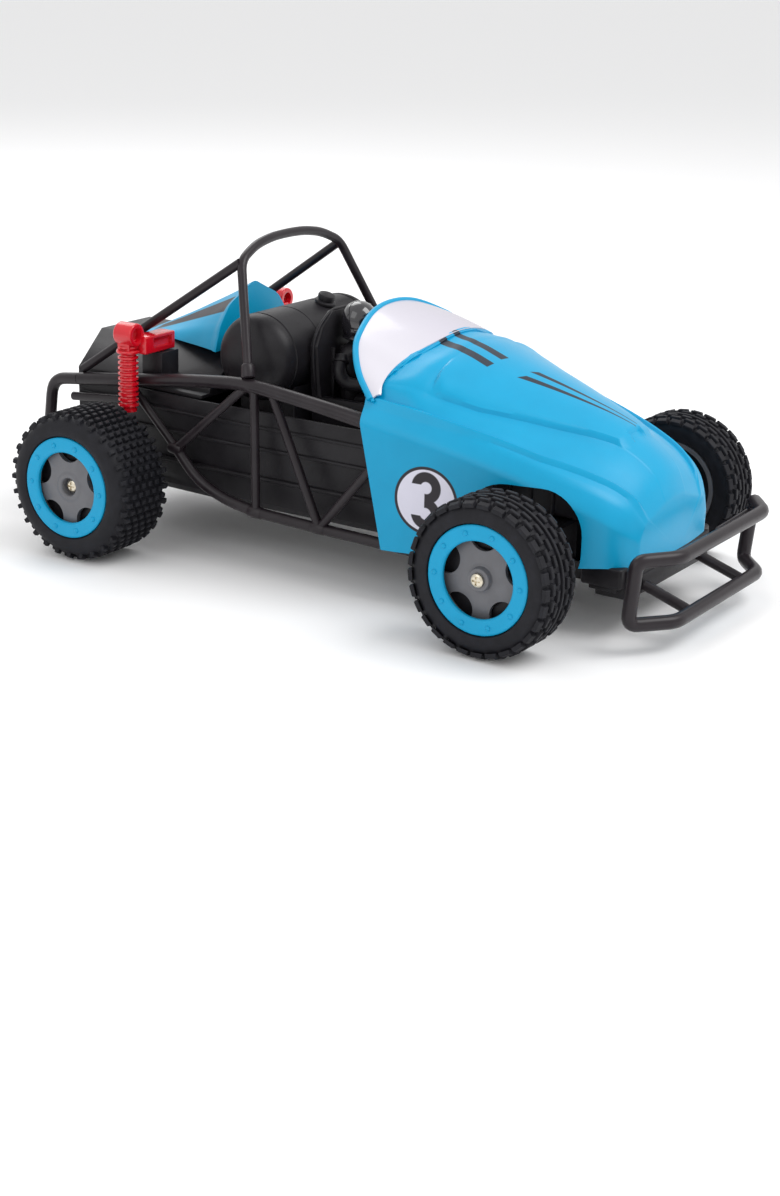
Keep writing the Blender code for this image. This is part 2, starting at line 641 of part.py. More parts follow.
def make_tail():
    rings = []
    for y, base, base_z, shoulder, shoulder_z, ridge_z in TAIL_SECTIONS:
        mid = (base + shoulder) / 2 + 2
        mid_z = base_z + (shoulder_z - base_z) * 0.55
        right = [(-base, y, base_z), (-mid, y, mid_z), (-shoulder, y, shoulder_z)]
        left = [(shoulder, y, shoulder_z), (mid, y, mid_z), (base, y, base_z)]
        rings.append(right + [(0, y, ridge_z)] + left)
    return finish_of(loft("tail_fairing", rings), "blue_plastic")


SHOCK_X, SHOCK_Y = 66.3, -5.0
SHOCK_R = 5.3
SHOCK_EYE_Z = 111.5


def make_shock(side):
    """A one-piece dummy damper: ribbed barrel, top boss and an arm to its seat."""
    name = mirrored_name("shock", side)
    top, bottom = 104.5, 71.0
    outline = [(0, top), (SHOCK_R, top), (SHOCK_R, bottom + 2), (3.5, bottom), (0, bottom)]
    part = turned_upright(name, outline, side * SHOCK_X, SHOCK_Y, 12, "red_plastic")
    boss = rod(name + "_boss", (side * SHOCK_X, -11.0, SHOCK_EYE_Z), (side * SHOCK_X, 0.5, SHOCK_EYE_Z), 6.0)
    neck = block(name + "_neck", (side * SHOCK_X - 4, -9, 102), (side * SHOCK_X + 4, -1, SHOCK_EYE_Z))
    low, high = sorted((side * 39, side * SHOCK_X))
    arm = block(name + "_arm", (low, -14.5, 101.2), (high, -4.6, 110.6))
    low, high = sorted((side * 41.5, side * 57))
    relief = block(name + "_relief", (low, -20, 103.6), (high, -12.3, 109.2))
    hollow = rod(name + "_hollow", (side * SHOCK_X, -15, SHOCK_EYE_Z), (side * SHOCK_X, -7, SHOCK_EYE_Z), 3.6)
    return cut(add(part, boss, neck, arm), relief, hollow)


# ---------------------------------------------------------------- cockpit
BARREL_Y, BARREL_Z, BARREL_R, BARREL_END = -66.7, 103.3, 22.3, 47.5
CAP_X = 12.0


def make_cockpit():
    floor = block("cockpit_floor", (-51.5, -155.6, 64), (51.5, -44.4, 66), "black_plastic")
    cradle = block("barrel_cradle", (-30, -84, 65.5), (30, -50, 90))
    add(floor, cradle)
    cut(floor, rod("cradle_cut", (-60, BARREL_Y, BARREL_Z), (60, BARREL_Y, BARREL_Z), BARREL_R + GAP, sides=32))
    dome = [(0, BARREL_END), (12, BARREL_END - 0.8), (18.5, BARREL_END - 3.2), (BARREL_R - 0.7, BARREL_END - 7)]
    profile = dome + [(BARREL_R, BARREL_END - 8)]
    mirrored = [(r, -h) for r, h in reversed(profile)]
    turned("fuel_barrel", profile + mirrored, "black_plastic", LEFT, BARREL_Y, BARREL_Z)
    lean = math.radians(17)      # the cap stands square on the barrel, a little ahead of its top

    def on_barrel(radius):
        return CAP_X, BARREL_Y - radius * math.sin(lean), BARREL_Z + radius * math.cos(lean)
    foot, flange, crown = (on_barrel(BARREL_R + rise) for rise in (GAP, GAP + 1.3, GAP + 5.2))
    cap = rod("barrel_cap", foot, crown, 4.6, "black_plastic")
    add(cap, rod("barrel_cap_flange", foot, flange, 5.6))


SEAT_REAR = -89.5


def make_seat():
    """A bucket seat: a cushion and a back between two raised sides."""
    seat = block("driver_seat", (-20, -128, 66.3), (20, -96, 76), "black_plastic", 2.0)
    back = loft("seat_back", [
        [(-half, front, z), (half, front, z), (half, SEAT_REAR, z), (-half, SEAT_REAR, z)]
        for z, half, front in ((68, 20, -96.0), (92, 23.5, -95.0), (110, 24.5, -94.0), (119, 19, -93.2),
                               (126, 9, -92.6))])
    wings = []
    for side in (RIGHT, LEFT):
        low, high = sorted((side * 18.5, side * 22.5))
        wings.append(block(mirrored_name("seat_wing", side), (low, -124, 66.3), (high, -90, 84)))
    return add(seat, back, *wings)


DRIVER_Y = -103.0


def make_driver():
    """A small seated driver with a closed helmet, hands on the wheel."""
    def oval(z, half_x, half_y, y):
        return [(half_x * math.cos(a), y + half_y * math.sin(a), z)
                for a in [i * math.pi / 6 for i in range(12)]]
    torso = loft("driver_body", [oval(76.5, 12, 7, -104), oval(88, 12.5, 7.5, -103.5),
                                 oval(100, 14.5, 7.5, -103), oval(107, 13.5, 6.5, -102.8),
                                 oval(110.4, 6, 4.5, -102.8)])
    finish_of(torso, "black_plastic")
    limbs = []
    for side in (RIGHT, LEFT):
        arm = side_points(side, [(12.5, -101.5, 104.5), (17.0, -105.0, 91.5), (7.5, -126.0, 92.5)])
        limbs.append(tube(mirrored_name("driver_arm", side), arm, 3.4, bend=5))
        leg = side_points(side, [(6.5, -106, 80.5), (7.5, -127, 85.0), (7.5, -140, 72.5)])
        limbs.append(tube(mirrored_name("driver_leg", side), leg, 4.0, bend=5))
    add(torso, *limbs)
    profile = [(0, 131.2), (4.6, 130.2), (7.8, 127.2), (9.2, 122.6), (9.0, 117.5), (7.2, 113.2),
               (5.6, 111.0), (0, 111.0)]
    turned_upright("driver_helmet", profile, 0, DRIVER_Y, 20, "helmet_gloss")
    wheel = rod("cockpit_wheel", (0, -132.4, 93.5), (0, -130.2, 94.6), 9.5, "black_plastic", sides=20)
    add(wheel, rod("steering_column", (0, -131.5, 94.0), (0, -157, 82.0), 1.8, sides=12))
    block("dashboard", (-50, -164, 66.3), (50, -158.6, 92), "black_plastic", 1.5)


# ---------------------------------------------------------------- hood and windscreen
HOOD_WALL = 1.6
ARCH_ROUND = 22.0                # corner radius of the cut above each front wheel
# Stations from the cowl to the nose: y, side x, side bottom z, side top z, shoulder x, shoulder z,
# panel-edge x, panel-edge z, centre z
HOOD_STATIONS = [
    (-150.0, 70.0, 27.0, 89.0, 64.5, 98.5, 56.0, 103.0, 122.0),
    (-176.0, 69.0, 27.5, 85.0, 62.5, 94.5, 47.8, 106.0, 118.5),
    (-205.0, 66.5, 29.0, 79.5, 59.5, 88.5, 37.8, 99.5, 109.5),
    (-235.0, 62.5, 31.0, 72.0, 55.5, 80.5, 27.0, 92.0, 98.5),
    (-258.0, 57.5, 33.0, 64.0, 51.0, 73.0, 19.0, 85.5, 89.0),
    (-272.0, 52.0, 34.0, 58.0, 46.5, 67.0, 17.0, 78.0, 81.0),
    (-281.0, 45.0, 34.0, 52.0, 40.0, 60.5, 15.0, 69.5, 72.0),
    (-286.0, 37.0, 34.0, 46.0, 33.0, 53.0, 12.0, 59.5, 61.0),
]
COWL_START = {"bottom": -163.8, "side": -150.0, "shoulder": -150.0, "panel": -152.0, "centre": -163.0}


def hood_half(station, first):
    y, side_x, bottom, side_top, shoulder_x, shoulder_z, panel_x, panel_z, centre = station
    start = COWL_START if first else {key: y for key in COWL_START}
    mid_z = (panel_z * 0.35 + centre * 0.65)
    return [(side_x - 0.5, start["bottom"], bottom), (side_x, start["side"], side_top),
            (shoulder_x, start["shoulder"], shoulder_z), (panel_x, start["panel"], panel_z),
            (panel_x * 0.55, (start["panel"] + start["centre"] * 2) / 3, mid_z), (0, start["centre"], centre)]


def make_hood():
    body = bmesh.new()
    rows = []
    for i, station in enumerate(HOOD_STATIONS):
        half = hood_half(station, i == 0)
        right = [(-x, y, z) for x, y, z in half]
        left = list(reversed(half[:-1]))
        rows.append([body.verts.new(at(*point)) for point in right + left])
    for lower, upper in zip(rows, rows[1:]):
        for i in range(len(lower) - 1):
            body.faces.new((lower[i], lower[i + 1], upper[i + 1], upper[i]))
    body.faces.new(rows[-1])
    bmesh.ops.recalc_face_normals(body, faces=body.faces)
    mesh = bpy.data.meshes.new("hood_shell")
    body.to_mesh(mesh)
    body.free()
    hood = link(mesh, "hood_shell")
    wall = hood.modifiers.new("wall", 'SOLIDIFY')
    wall.thickness = HOOD_WALL * MM
    wall.offset = -1
    wall.use_even_offset = True
    finish_of(hood, "blue_plastic")
    arches = []
    for side in (RIGHT, LEFT):
        low, high = sorted((side * 40, side * 80))
        arch = block(mirrored_name("arch_cut", side), (low, -266, 20), (high, -207, 70))
        bevel = arch.modifiers.new("round", 'BEVEL')
        bevel.width = ARCH_ROUND * MM
        bevel.segments = 5
        bevel.limit_method = 'NONE'
        arches.append(arch)
    return cut(hood, *arches)


RIM_ARCH = [(66.0, -153.5, 99.5), (60.0, -143.0, 109.0), (50.0, -134.0, 117.2), (40.0, -129.0, 123.3),
            (20.0, -124.0, 131.0), (0.0, -122.6, 133.4)]
SCREEN_BASE = [(62.5, -157.0, 101.5), (58.5, -155.5, 106.0), (51.0, -155.0, 110.5), (41.0, -157.0, 115.5),
               (21.0, -162.0, 121.5), (0.0, -163.5, 124.0)]


def make_screen():
    arch = side_points(RIGHT, RIM_ARCH) + side_points(LEFT, reversed(RIM_ARCH[:-1]))
    finish_of(tube("windscreen_rim", arch, 1.3), "blue_plastic")
    body = bmesh.new()
    base = side_points(RIGHT, SCREEN_BASE) + side_points(LEFT, reversed(SCREEN_BASE[:-1]))
    rows = []
    clear = 2.4                  # from the rim's centre line to the screen's edge
    for t in (0, 0.5, 1.0):
        row = []
        for upper, lower in zip(arch, base):
            run = Vector(lower) - Vector(upper)
            start = Vector(upper) + run.normalized() * clear
            row.append(body.verts.new(at(*(start.lerp(Vector(lower), t) + Vector((0, 0, 3.0 * t * (1 - t)))))))
        rows.append(row)
    for lower, upper in zip(rows, rows[1:]):
        for i in range(len(lower) - 1):
            body.faces.new((lower[i], lower[i + 1], upper[i + 1], upper[i]))
    bmesh.ops.recalc_face_normals(body, faces=body.faces)
    mesh = bpy.data.meshes.new("windscreen")
    body.to_mesh(mesh)
    body.free()
    screen = link(mesh, "windscreen")
    wall = screen.modifiers.new("wall", 'SOLIDIFY')
    wall.thickness = 1.0 * MM
    wall.offset = 0
    finish_of(screen, "screen_plastic")


def make_sump():
    """The plate that closes the drive's well under the rear of the tub."""
    block("gearbox_sump", (-30, -46, 21.5), (30, 30, FLOOR_Z - GAP), "black_plastic", 1.5)


make_wheels()
make_drive()
make_gear_case()
make_tub()
make_nose_tray()
make_front_beam()
make_steering()
make_electrics()
make_rear_loop()
make_hoop()
make_bumper()
make_deck()
make_tail()
make_cockpit()
make_seat()
make_driver()
make_hood()
make_screen()
make_sump()
for car_side in (RIGHT, LEFT):
    make_knuckle(car_side)
    make_side_frame(car_side)
    make_brace(car_side)
    make_shock(car_side)
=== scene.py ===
"""Looks of the radio-controlled buggy, built over its CAD frame.

Sizes are millimetres from the ground (Z), the middle plane (X) and the rear axle (Y), as in the
part's source; at() turns them into metres about the middle of the car.
"""
import json
import math

import bpy
from mathutils import Matrix, Vector


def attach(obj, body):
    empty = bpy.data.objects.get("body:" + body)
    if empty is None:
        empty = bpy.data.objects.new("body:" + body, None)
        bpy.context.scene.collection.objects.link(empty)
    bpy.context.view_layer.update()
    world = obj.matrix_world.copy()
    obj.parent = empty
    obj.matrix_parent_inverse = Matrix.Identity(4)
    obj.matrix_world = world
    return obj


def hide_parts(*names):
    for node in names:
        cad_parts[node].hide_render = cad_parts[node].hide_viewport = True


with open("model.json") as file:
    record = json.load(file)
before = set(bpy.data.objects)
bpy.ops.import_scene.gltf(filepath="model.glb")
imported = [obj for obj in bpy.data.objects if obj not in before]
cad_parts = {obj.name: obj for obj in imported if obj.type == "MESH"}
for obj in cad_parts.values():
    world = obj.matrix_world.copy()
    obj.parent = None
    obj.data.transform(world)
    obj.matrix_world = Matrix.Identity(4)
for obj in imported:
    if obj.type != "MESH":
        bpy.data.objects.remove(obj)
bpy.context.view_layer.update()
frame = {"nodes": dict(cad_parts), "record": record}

MM = 0.001
RIGHT, LEFT = -1, 1
SIDE_NAME = {RIGHT: "right", LEFT: "left"}
REAR_AXLE_TO_MIDDLE = 124.87
REAR_R, FRONT_R, FRONT_Y = 38.6, 37.8, -242.2


def at(x, y, z):
    """Millimetres about the rear axle's foot, as metres about the car's middle."""
    return Vector((x, y + REAR_AXLE_TO_MIDDLE, z)) * MM


def sided(side, points):
    return [(side * x, y, z) for x, y, z in points]


def across(half):
    """A right half that ends on the middle plane, carried on to the left."""
    return sided(RIGHT, half) + sided(LEFT, reversed(half[:-1]))


# ---------------------------------------------------------------- workshop
def deselect():
    if bpy.context.object and bpy.context.object.mode != 'OBJECT':
        bpy.ops.object.mode_set(mode='OBJECT')
    bpy.ops.object.select_all(action='DESELECT')


def pick(*parts):
    deselect()
    for part in parts:
        part.select_set(True)
    bpy.context.view_layer.objects.active = parts[0]
    return parts[0]


def named(name):
    part = bpy.context.object
    part.name = part.data.name = name
    return part


def edited(part, *steps):
    """Run edit-mode steps, each an operator with its settings, on the whole of a part."""
    pick(part)
    bpy.ops.object.mode_set(mode='EDIT')
    bpy.ops.mesh.select_mode(type='VERT')
    for step, settings in steps:
        bpy.ops.mesh.select_all(action='SELECT')
        step(**settings)
    bpy.ops.object.mode_set(mode='OBJECT')
    return part


def welded(part, caps=False):
    """Merge doubles, close open ends if asked, and turn the faces outwards."""
    edited(part, (bpy.ops.mesh.remove_doubles, {"threshold": 0.000002}),
           (bpy.ops.mesh.delete_loose, {"use_verts": True, "use_edges": True, "use_faces": False}))
    if caps:
        edited(part, (bpy.ops.mesh.fill_holes, {"sides": 0}))
    return edited(part, (bpy.ops.mesh.normals_make_consistent, {"inside": False}))


def worked(part, kind, **settings):
    """Add a modifier and apply it."""
    pick(part)
    step = part.modifiers.new(kind.lower(), kind)
    for key, value in settings.items():
        setattr(step, key, value)
    bpy.ops.object.modifier_apply(modifier=step.name)
    return part


def rounded(part, width, segments=2, angle=32):
    return worked(part, 'BEVEL', width=width * MM, segments=segments, limit_method='ANGLE',
                  angle_limit=math.radians(angle))


def smooth(part, angle=35):
    pick(part)
    bpy.ops.object.shade_smooth_by_angle(angle=math.radians(angle))
    return part


def joined(name, *parts):
    pick(*parts)
    if len(parts) > 1:
        bpy.ops.object.join()
    return named(name)


def carved(part, *tools):
    for tool in tools:
        worked(part, 'BOOLEAN', operation='DIFFERENCE', solver='EXACT', object=tool)
        bpy.data.objects.remove(tool, do_unlink=True)
    return part


def block(name, low, high, round_by=0.0, segments=2):
    """A block between two corners, its edges rounded."""
    deselect()
    middle = [(low[i] + high[i]) / 2 for i in range(3)]
    bpy.ops.mesh.primitive_cube_add(size=1, location=at(*middle))
    part = named(name)
    part.scale = [abs(high[i] - low[i]) * MM for i in range(3)]
    bpy.ops.object.transform_apply(location=True, rotation=True, scale=True)
    if round_by:
        edited(part, (bpy.ops.mesh.bevel, {"offset": round_by * MM, "segments": segments, "affect": 'EDGES'}))
    return part


def ball(name, radius, scale, segments, rings, place=(0, 0, 0)):
    """A squashed ball, its radius in millimetres and its place in metres."""
    deselect()
    bpy.ops.mesh.primitive_uv_sphere_add(segments=segments, ring_count=rings, radius=radius * MM, location=place)
    part = named(name)
    part.scale = scale
    bpy.ops.object.transform_apply(location=True, rotation=True, scale=True)
    return part


def between(side, near, far):
    """The lower and higher X of a stretch on one side."""
    return sorted((side * near, side * far))


def eased(points, reach, steps=4, closed=False, every=False):
    """A path whose corners are rounded with short arcs, even the flattest ones where every is set."""
    points = [Vector(p) for p in points]
    looped = [points[-1]] + points + [points[0]] if closed else points
    path = [] if closed else [points[0]]
    for before, corner, after in zip(looped, looped[1:], looped[2:]):
        into, out = corner - before, after - corner
        if not every and (into.length < 1e-9 or out.length < 1e-9 or into.angle(out) < 0.05):
            path.append(corner)
            continue
        start = corner - into.normalized() * min(reach, into.length * 0.45)
        end = corner + out.normalized() * min(reach, out.length * 0.45)
        for step in range(steps + 1):
            t = step / steps
            path.append(start * (1 - t) ** 2 + corner * 2 * t * (1 - t) + end * t ** 2)
    return path if closed else path + [points[-1]]


def flowing(points, count):
    """A smooth line of count points through the given ones."""
    points = [Vector(p) for p in points]
    spans = len(points) - 1
    line = []
    for i in range(count):
        place = i / (count - 1) * spans
        k = min(int(place), spans - 1)
        t = place - k
        b, c = points[k], points[k + 1]
        a = points[k - 1] if k else b * 2 - c
        d = points[k + 2] if k + 2 <= spans else c * 2 - b
        line.append(0.5 * (2 * b + (c - a) * t + (2 * a - 5 * b + 4 * c - d) * t * t
                           + (3 * b - a - 3 * c + d) * t ** 3))
    return line


def flowing_lists(points, count):
    """flowing() for lists of any length."""
    columns = [flowing([(i, value, 0) for i, value in enumerate(column)], count) for column in zip(*points)]
    return [[place.y for place in row] for row in zip(*columns)]


def turned(name, outline, centre, direction, steps=64):
    """Spin an outline of (radius, distance along the line) about a line through centre."""
    direction = Vector(direction).normalized()
    sideways = Vector((0, 0, 1)) if abs(direction.z) < 0.5 else Vector((1, 0, 0))
    sideways = (sideways - direction * sideways.dot(direction)).normalized()
    deselect()
    bpy.ops.mesh.primitive_circle_add(vertices=len(outline), radius=0.01, fill_type='NOTHING')
    part = named(name)
    for vertex, point in zip(part.data.vertices, outline):
        vertex.co = centre + sideways * (point[0] * MM) + direction * (point[1] * MM)
    edited(part, (bpy.ops.mesh.spin, {"steps": steps, "angle": math.tau, "center": centre,
                                      "axis": direction, "use_auto_merge": True}))
    return smooth(welded(part))


def tube(name, points, radius, bend=8.0, closed=False, fine=4):
    """A bent round tube."""
    path = eased(points, bend, 6, closed)
    deselect()
    bpy.ops.curve.primitive_nurbs_path_add()
    guide = bpy.context.object
    line = guide.data
    line.splines.clear()
    spline = line.splines.new('POLY')
    spline.points.add(len(path) - 1)
    for slot, point in zip(spline.points, path):
        slot.co = (*at(*point), 1)
    spline.use_cyclic_u = closed
    line.dimensions = '3D'
    line.bevel_depth = radius * MM
    line.bevel_resolution = fine
    line.use_fill_caps = not closed
    bpy.ops.object.convert(target='MESH')
    return smooth(welded(named(name)), 40)


def skin(name, rows, closed=False, caps=False):
    """A grid whose points are moved into rows of places."""
    if closed:
        rows = [list(row) + [row[0]] for row in rows]
    deselect()
    bpy.ops.mesh.primitive_grid_add(x_subdivisions=len(rows[0]) - 1, y_subdivisions=len(rows) - 1, size=0.1)
    part = named(name)
    places = [at(*point) for row in rows for point in row]
    if len(places) != len(part.data.vertices):
        raise ValueError(f"{name}: {len(places)} places for {len(part.data.vertices)} points")
    for vertex, place in zip(part.data.vertices, places):
        vertex.co = place
    return welded(part, caps)


def scattered(name, unit, places):
    """Copies of one small shape, each with its own mesh, joined."""
    copies = []
    for place in places:
        copy = unit.copy()
        copy.data = unit.data.copy()
        copy.data.transform(place)
        bpy.context.scene.collection.objects.link(copy)
        copies.append(copy)
    bpy.data.objects.remove(unit, do_unlink=True)
    return joined(name, *copies)


def refined(node, width=0.4, angle=35):
    """A copy of a CAD solid, its flat faces rejoined and its edges rounded."""
    source = frame["nodes"][node]
    deselect()
    copy = source.copy()
    copy.data = source.data.copy()
    for key in list(copy.keys()):
        del copy[key]
    copy.parent = None
    bpy.context.scene.collection.objects.link(copy)
    copy.name = copy.data.name = node + "_rounded"
    edited(copy, (bpy.ops.mesh.remove_doubles, {"threshold": 0.000002}),
           (bpy.ops.mesh.dissolve_limited, {"angle_limit": math.radians(0.4)}))
    if width:
        rounded(copy, width, 2, angle)
    return smooth(copy, 38)


def fitted(part, body, slot, *replaced, paint=None):
    """Paint a piece, let it ride on its body and take the place of CAD solids."""
    part.data.materials.clear()
    part.data.materials.append(paint or PAINT[slot])
    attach(part, body)
    if replaced:
        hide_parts(*replaced)
    return part


def kept(node, body, slot, width):
    """A CAD solid shown in its own shape, with its edges rounded."""
    fitted(refined(node, width), body, slot, node)


# ---------------------------------------------------------------- finishes
class Wire:
    """A shader socket that can be used in sums."""

    def __init__(self, finish, socket):
        self.finish, self.socket = finish, socket

    def math(self, operation, *others):
        return self.finish.maths(operation, self, *others)

    def __add__(self, other): return self.math('ADD', other)
    def __radd__(self, other): return self.math('ADD', other)
    def __sub__(self, other): return self.math('SUBTRACT', other)
    def __rsub__(self, other): return self.finish.maths('SUBTRACT', other, self)
    def __mul__(self, other): return self.math('MULTIPLY', other)
    def __rmul__(self, other): return self.math('MULTIPLY', other)
    def __abs__(self): return self.math('ABSOLUTE')

    def step(self, edge, soft):
        """0 below the edge and 1 above it, over a soft width."""
        return self.finish.maths('MULTIPLY_ADD', self, 1 / soft, 0.5 - edge / soft, clamp=True)


class Finish:
    """A material built from nodes, with its pattern on the object's own coordinates."""

    def __init__(self, name, colour, roughness, metallic=0.0, coat=0.0, coat_roughness=0.1, specular=0.5):
        self.material = bpy.data.materials.new(name)
        self.material.use_nodes = True
        self.tree = self.material.node_tree
        self.shader = self.tree.nodes["Principled BSDF"]
        self.colour, self.roughness = colour, roughness
        for socket, value in (("Base Color", (*colour, 1)), ("Roughness", roughness),
                              ("Metallic", metallic), ("Coat Weight", coat),
                              ("Coat Roughness", coat_roughness), ("Specular IOR Level", specular)):
            self.shader.inputs[socket].default_value = value
        self.material.diffuse_color = (*colour, 1)
        self.place = self.node('ShaderNodeTexCoord')["Object"]

    def join(self, source, socket):
        if isinstance(source, Wire):
            self.tree.links.new(source.socket, socket)
        else:
            socket.default_value = source

    def node(self, kind, settings=None, sockets=None):
        """Any node: its type, its settings, then the values or links of its sockets."""
        made = self.tree.nodes.new(kind)
        for key, value in (settings or {}).items():
            setattr(made, key, value)
        for key, value in (sockets or {}).items():
            self.join(value, made.inputs[key])
        return {out.name: Wire(self, out) for out in reversed(made.outputs)}

    def maths(self, operation, *terms, clamp=False):
        settings = {"operation": operation, "use_clamp": clamp}
        return self.node('ShaderNodeMath', settings, dict(enumerate(terms)))["Value"]

    def axes(self):
        split = self.node('ShaderNodeSeparateXYZ', None, {0: self.place})
        return split["X"], split["Y"], split["Z"]

    def noise(self, size_mm, detail=3.0, stretch=None):
        """Noise whose blotches are about the given size."""
        place = self.place
        if stretch:
            place = self.node('ShaderNodeMapping', None, {"Vector": place, "Scale": stretch})["Vector"]
        return self.node('ShaderNodeTexNoise', None, {"Vector": place, "Scale": 1000.0 / size_mm,
                                                      "Detail": detail, "Roughness": 0.55})["Fac"]

    def blend(self, factor, first, second):
        """Mix two colours."""
        made = self.tree.nodes.new('ShaderNodeMix')
        made.data_type = 'RGBA'
        self.join(factor, made.inputs[0])
        for source, socket in ((first, made.inputs[6]), (second, made.inputs[7])):
            self.join(source if isinstance(source, Wire) else (*source, 1), socket)
        return Wire(self, made.outputs[2])

    def to(self, socket, wire):
        self.tree.links.new(wire.socket, self.shader.inputs[socket])

    def relief(self, height, depth_mm):
        """A bump of the given depth on the surface."""
        self.to("Normal", self.node('ShaderNodeBump', None, {"Height": height, "Distance": depth_mm * MM,
                                                             "Strength": 1.0})["Normal"])

    def inside(self, x, y, corners, soft=0.0003):
        """1 inside an anticlockwise convex outline."""
        mask = None
        for (x0, y0), (x1, y1) in zip(corners, corners[1:] + corners[:1]):
            length = math.hypot(x1 - x0, y1 - y0)
            depth = (y - y0) * ((x1 - x0) / length) - (x - x0) * ((y1 - y0) / length)
            side = depth.step(0.0, soft)
            mask = side if mask is None else mask * side
        return mask

    def aged(self, lighter=0.12, grain_mm=0.5, grain_depth=0.03, rough_spread=0.1, cloud_mm=14):
        """Cloudy tone, uneven gloss and a fine moulded grain."""
        cloud = self.noise(cloud_mm, 4.0)
        fine = self.noise(grain_mm, 2.0)
        wear = self.noise(3.0, 5.0).step(0.64, 0.12)
        bright = tuple(min(c * (1 + lighter) + lighter * 0.02, 1) for c in self.colour)
        self.to("Base Color", self.blend(cloud.step(0.5, 0.5), self.colour, bright))
        self.to("Roughness", self.roughness - rough_spread / 2 + cloud * rough_spread + wear * rough_spread * 0.5)
        self.relief(fine + cloud * 0.2, grain_depth)
        return self.material


def plain(name, colour, roughness, **look):
    """A moulded or metal finish with nothing printed on it."""
    keys = ("metallic", "coat", "coat_roughness", "specular")
    made = Finish(name, colour, roughness, **{k: look.pop(k) for k in keys if k in look})
    return made.aged(**look)


BLUE = (0.0, 0.305, 0.545)
INK = (0.022, 0.018, 0.024)
LIGHT_BLUE = (0.0, 0.34, 0.60)


def numeral(finish, u, v, size):
    """A generic 3 from two rings, open to the left."""
    strokes = None
    for rise in (0.5, -0.5):
        radius = ((u * u) + (v - rise * size) * (v - rise * size)).math('SQRT')
        band = 1 - abs(radius - size * 0.42).step(size * 0.19, 0.0004)
        gap = (1 - u.step(-size * 0.06, 0.0003)) * (1 - (v * (1 if rise > 0 else -1)).step(size * 0.6, 0.0003))
        ring = band * (1 - gap)
        strokes = ring if strokes is None else strokes.math('MAXIMUM', ring)
    return strokes


def blue_finish(name):
    return Finish(name, BLUE, 0.40, coat=0.06, coat_roughness=0.3, specular=0.28)


def hood_paint():
    finish = blue_finish("hood_blue")
    x, y, z = finish.axes()
    shift = REAR_AXLE_TO_MIDDLE
    print_mask = None
    for corners in (((-18.9, -157.0), (-21.3, -191.4), (-16.2, -192.4), (-13.6, -158.8)),
                    ((-7.2, -161.0), (-10.2, -192.8), (-5.1, -194.3), (-2.2, -163.2)),
                    ((-16.6, -205.6), (3.6, -260.6), (4.4, -260.4), (-11.8, -208.1)),
                    ((-7.0, -207.2), (7.4, -259.3), (8.2, -259.1), (-2.7, -210.0))):
        area = finish.inside(x, y, [(a * MM, (b + shift) * MM) for a, b in corners])
        print_mask = area if print_mask is None else print_mask.math('MAXIMUM', area)
    print_mask = print_mask * z.step(0.078, 0.001)
    # roundel on each side: a pale disc, a dark rim and a numeral that reads from outside
    along = (y - (-187.5 + shift) * MM) * x.math('SIGN')
    up = z - 0.0555
    from_centre = (along * along + up * up).math('SQRT')
    on_side = abs(x).step(0.060, 0.001)
    disc = (1 - from_centre.step(0.0168, 0.0003)) * on_side
    edge = from_centre.step(0.0153, 0.0003)
    ink = numeral(finish, along, up, 0.0128).math('MAXIMUM', edge)
    blue = finish.blend(finish.noise(22, 3.0).step(0.5, 0.6), BLUE, LIGHT_BLUE)
    blue = finish.blend(print_mask * (0.9 + finish.noise(0.7) * 0.12), blue, INK)
    face = finish.blend(ink, (0.70, 0.69, 0.80), (0.022, 0.018, 0.024))
    finish.to("Base Color", finish.blend(disc, blue, face))
    cloud = finish.noise(9, 4.0)
    finish.to("Roughness", 0.30 + cloud * 0.08 + (print_mask.math('MAXIMUM', disc)) * 0.08)
    finish.relief(finish.noise(0.45, 2.0) + cloud * 0.4 + disc * 0.6 + print_mask * 0.5, 0.035)
    return finish.material


def tail_paint():
    finish = blue_finish("tail_blue")
    x, y, z = finish.axes()
    shift = REAR_AXLE_TO_MIDDLE
    # a dark stripe up each flank, wider at the front
    rise = z - (y - (19.2 + shift) * MM) * (-0.384) - 0.1035
    length = (1 - y.step((21 + shift) * MM, 0.0004)) * y.step((-33 + shift) * MM, 0.0004)
    width = 0.0009 - (y - (19 + shift) * MM) * 0.048
    mask = (1 - (abs(rise) - width).step(0.0, 0.0003)) * length * abs(x).step(0.004, 0.0004)
    finish.to("Base Color", finish.blend(mask, finish.blend(finish.noise(20).step(0.5, 0.6), BLUE,
                                                            LIGHT_BLUE), INK))
    cloud = finish.noise(9, 4.0)
    finish.to("Roughness", 0.30 + cloud * 0.09 + mask * 0.08)
    finish.relief(finish.noise(0.45, 2.0) + mask * 0.5, 0.035)
    return finish.material


def rubber_paint():
    """Tyre rubber: a dull bluish black with a dusty bloom and a faint fine grain."""
    finish = Finish("tyre_rubber_finish", (0.020, 0.020, 0.026), 0.56, specular=0.24)
    dust = finish.noise(6, 6.0).step(0.56, 0.3)
    finish.to("Base Color", finish.blend(dust * 0.5, (0.008, 0.008, 0.011), (0.020, 0.020, 0.026)))
    finish.to("Roughness", 0.48 + finish.noise(4, 4.0) * 0.2 + dust * 0.08)
    finish.relief(finish.noise(0.7, 3.0) + finish.noise(5, 2.0) * 0.5, 0.06)
    return finish.material


def screen_paint():
    """A pearly moulded screen, its colour painted from white to a darker lavender grey across the car as painted
    shade.
    """
    finish = Finish("pearl_screen_painted_shade", (0.6, 0.57, 0.66), 0.24, coat=0.3, coat_roughness=0.08)
    x, y, z = finish.axes()
    # painted shade: light on the car's right side, darker towards its left side
    finish.to("Base Color", finish.blend(x.step(0.004, 0.09), (0.66, 0.64, 0.70), (0.36, 0.33, 0.42)))
    finish.to("Roughness", 0.18 + finish.noise(7, 4.0) * 0.12)
    finish.relief(finish.noise(2.5, 3.0), 0.02)
    return finish.material


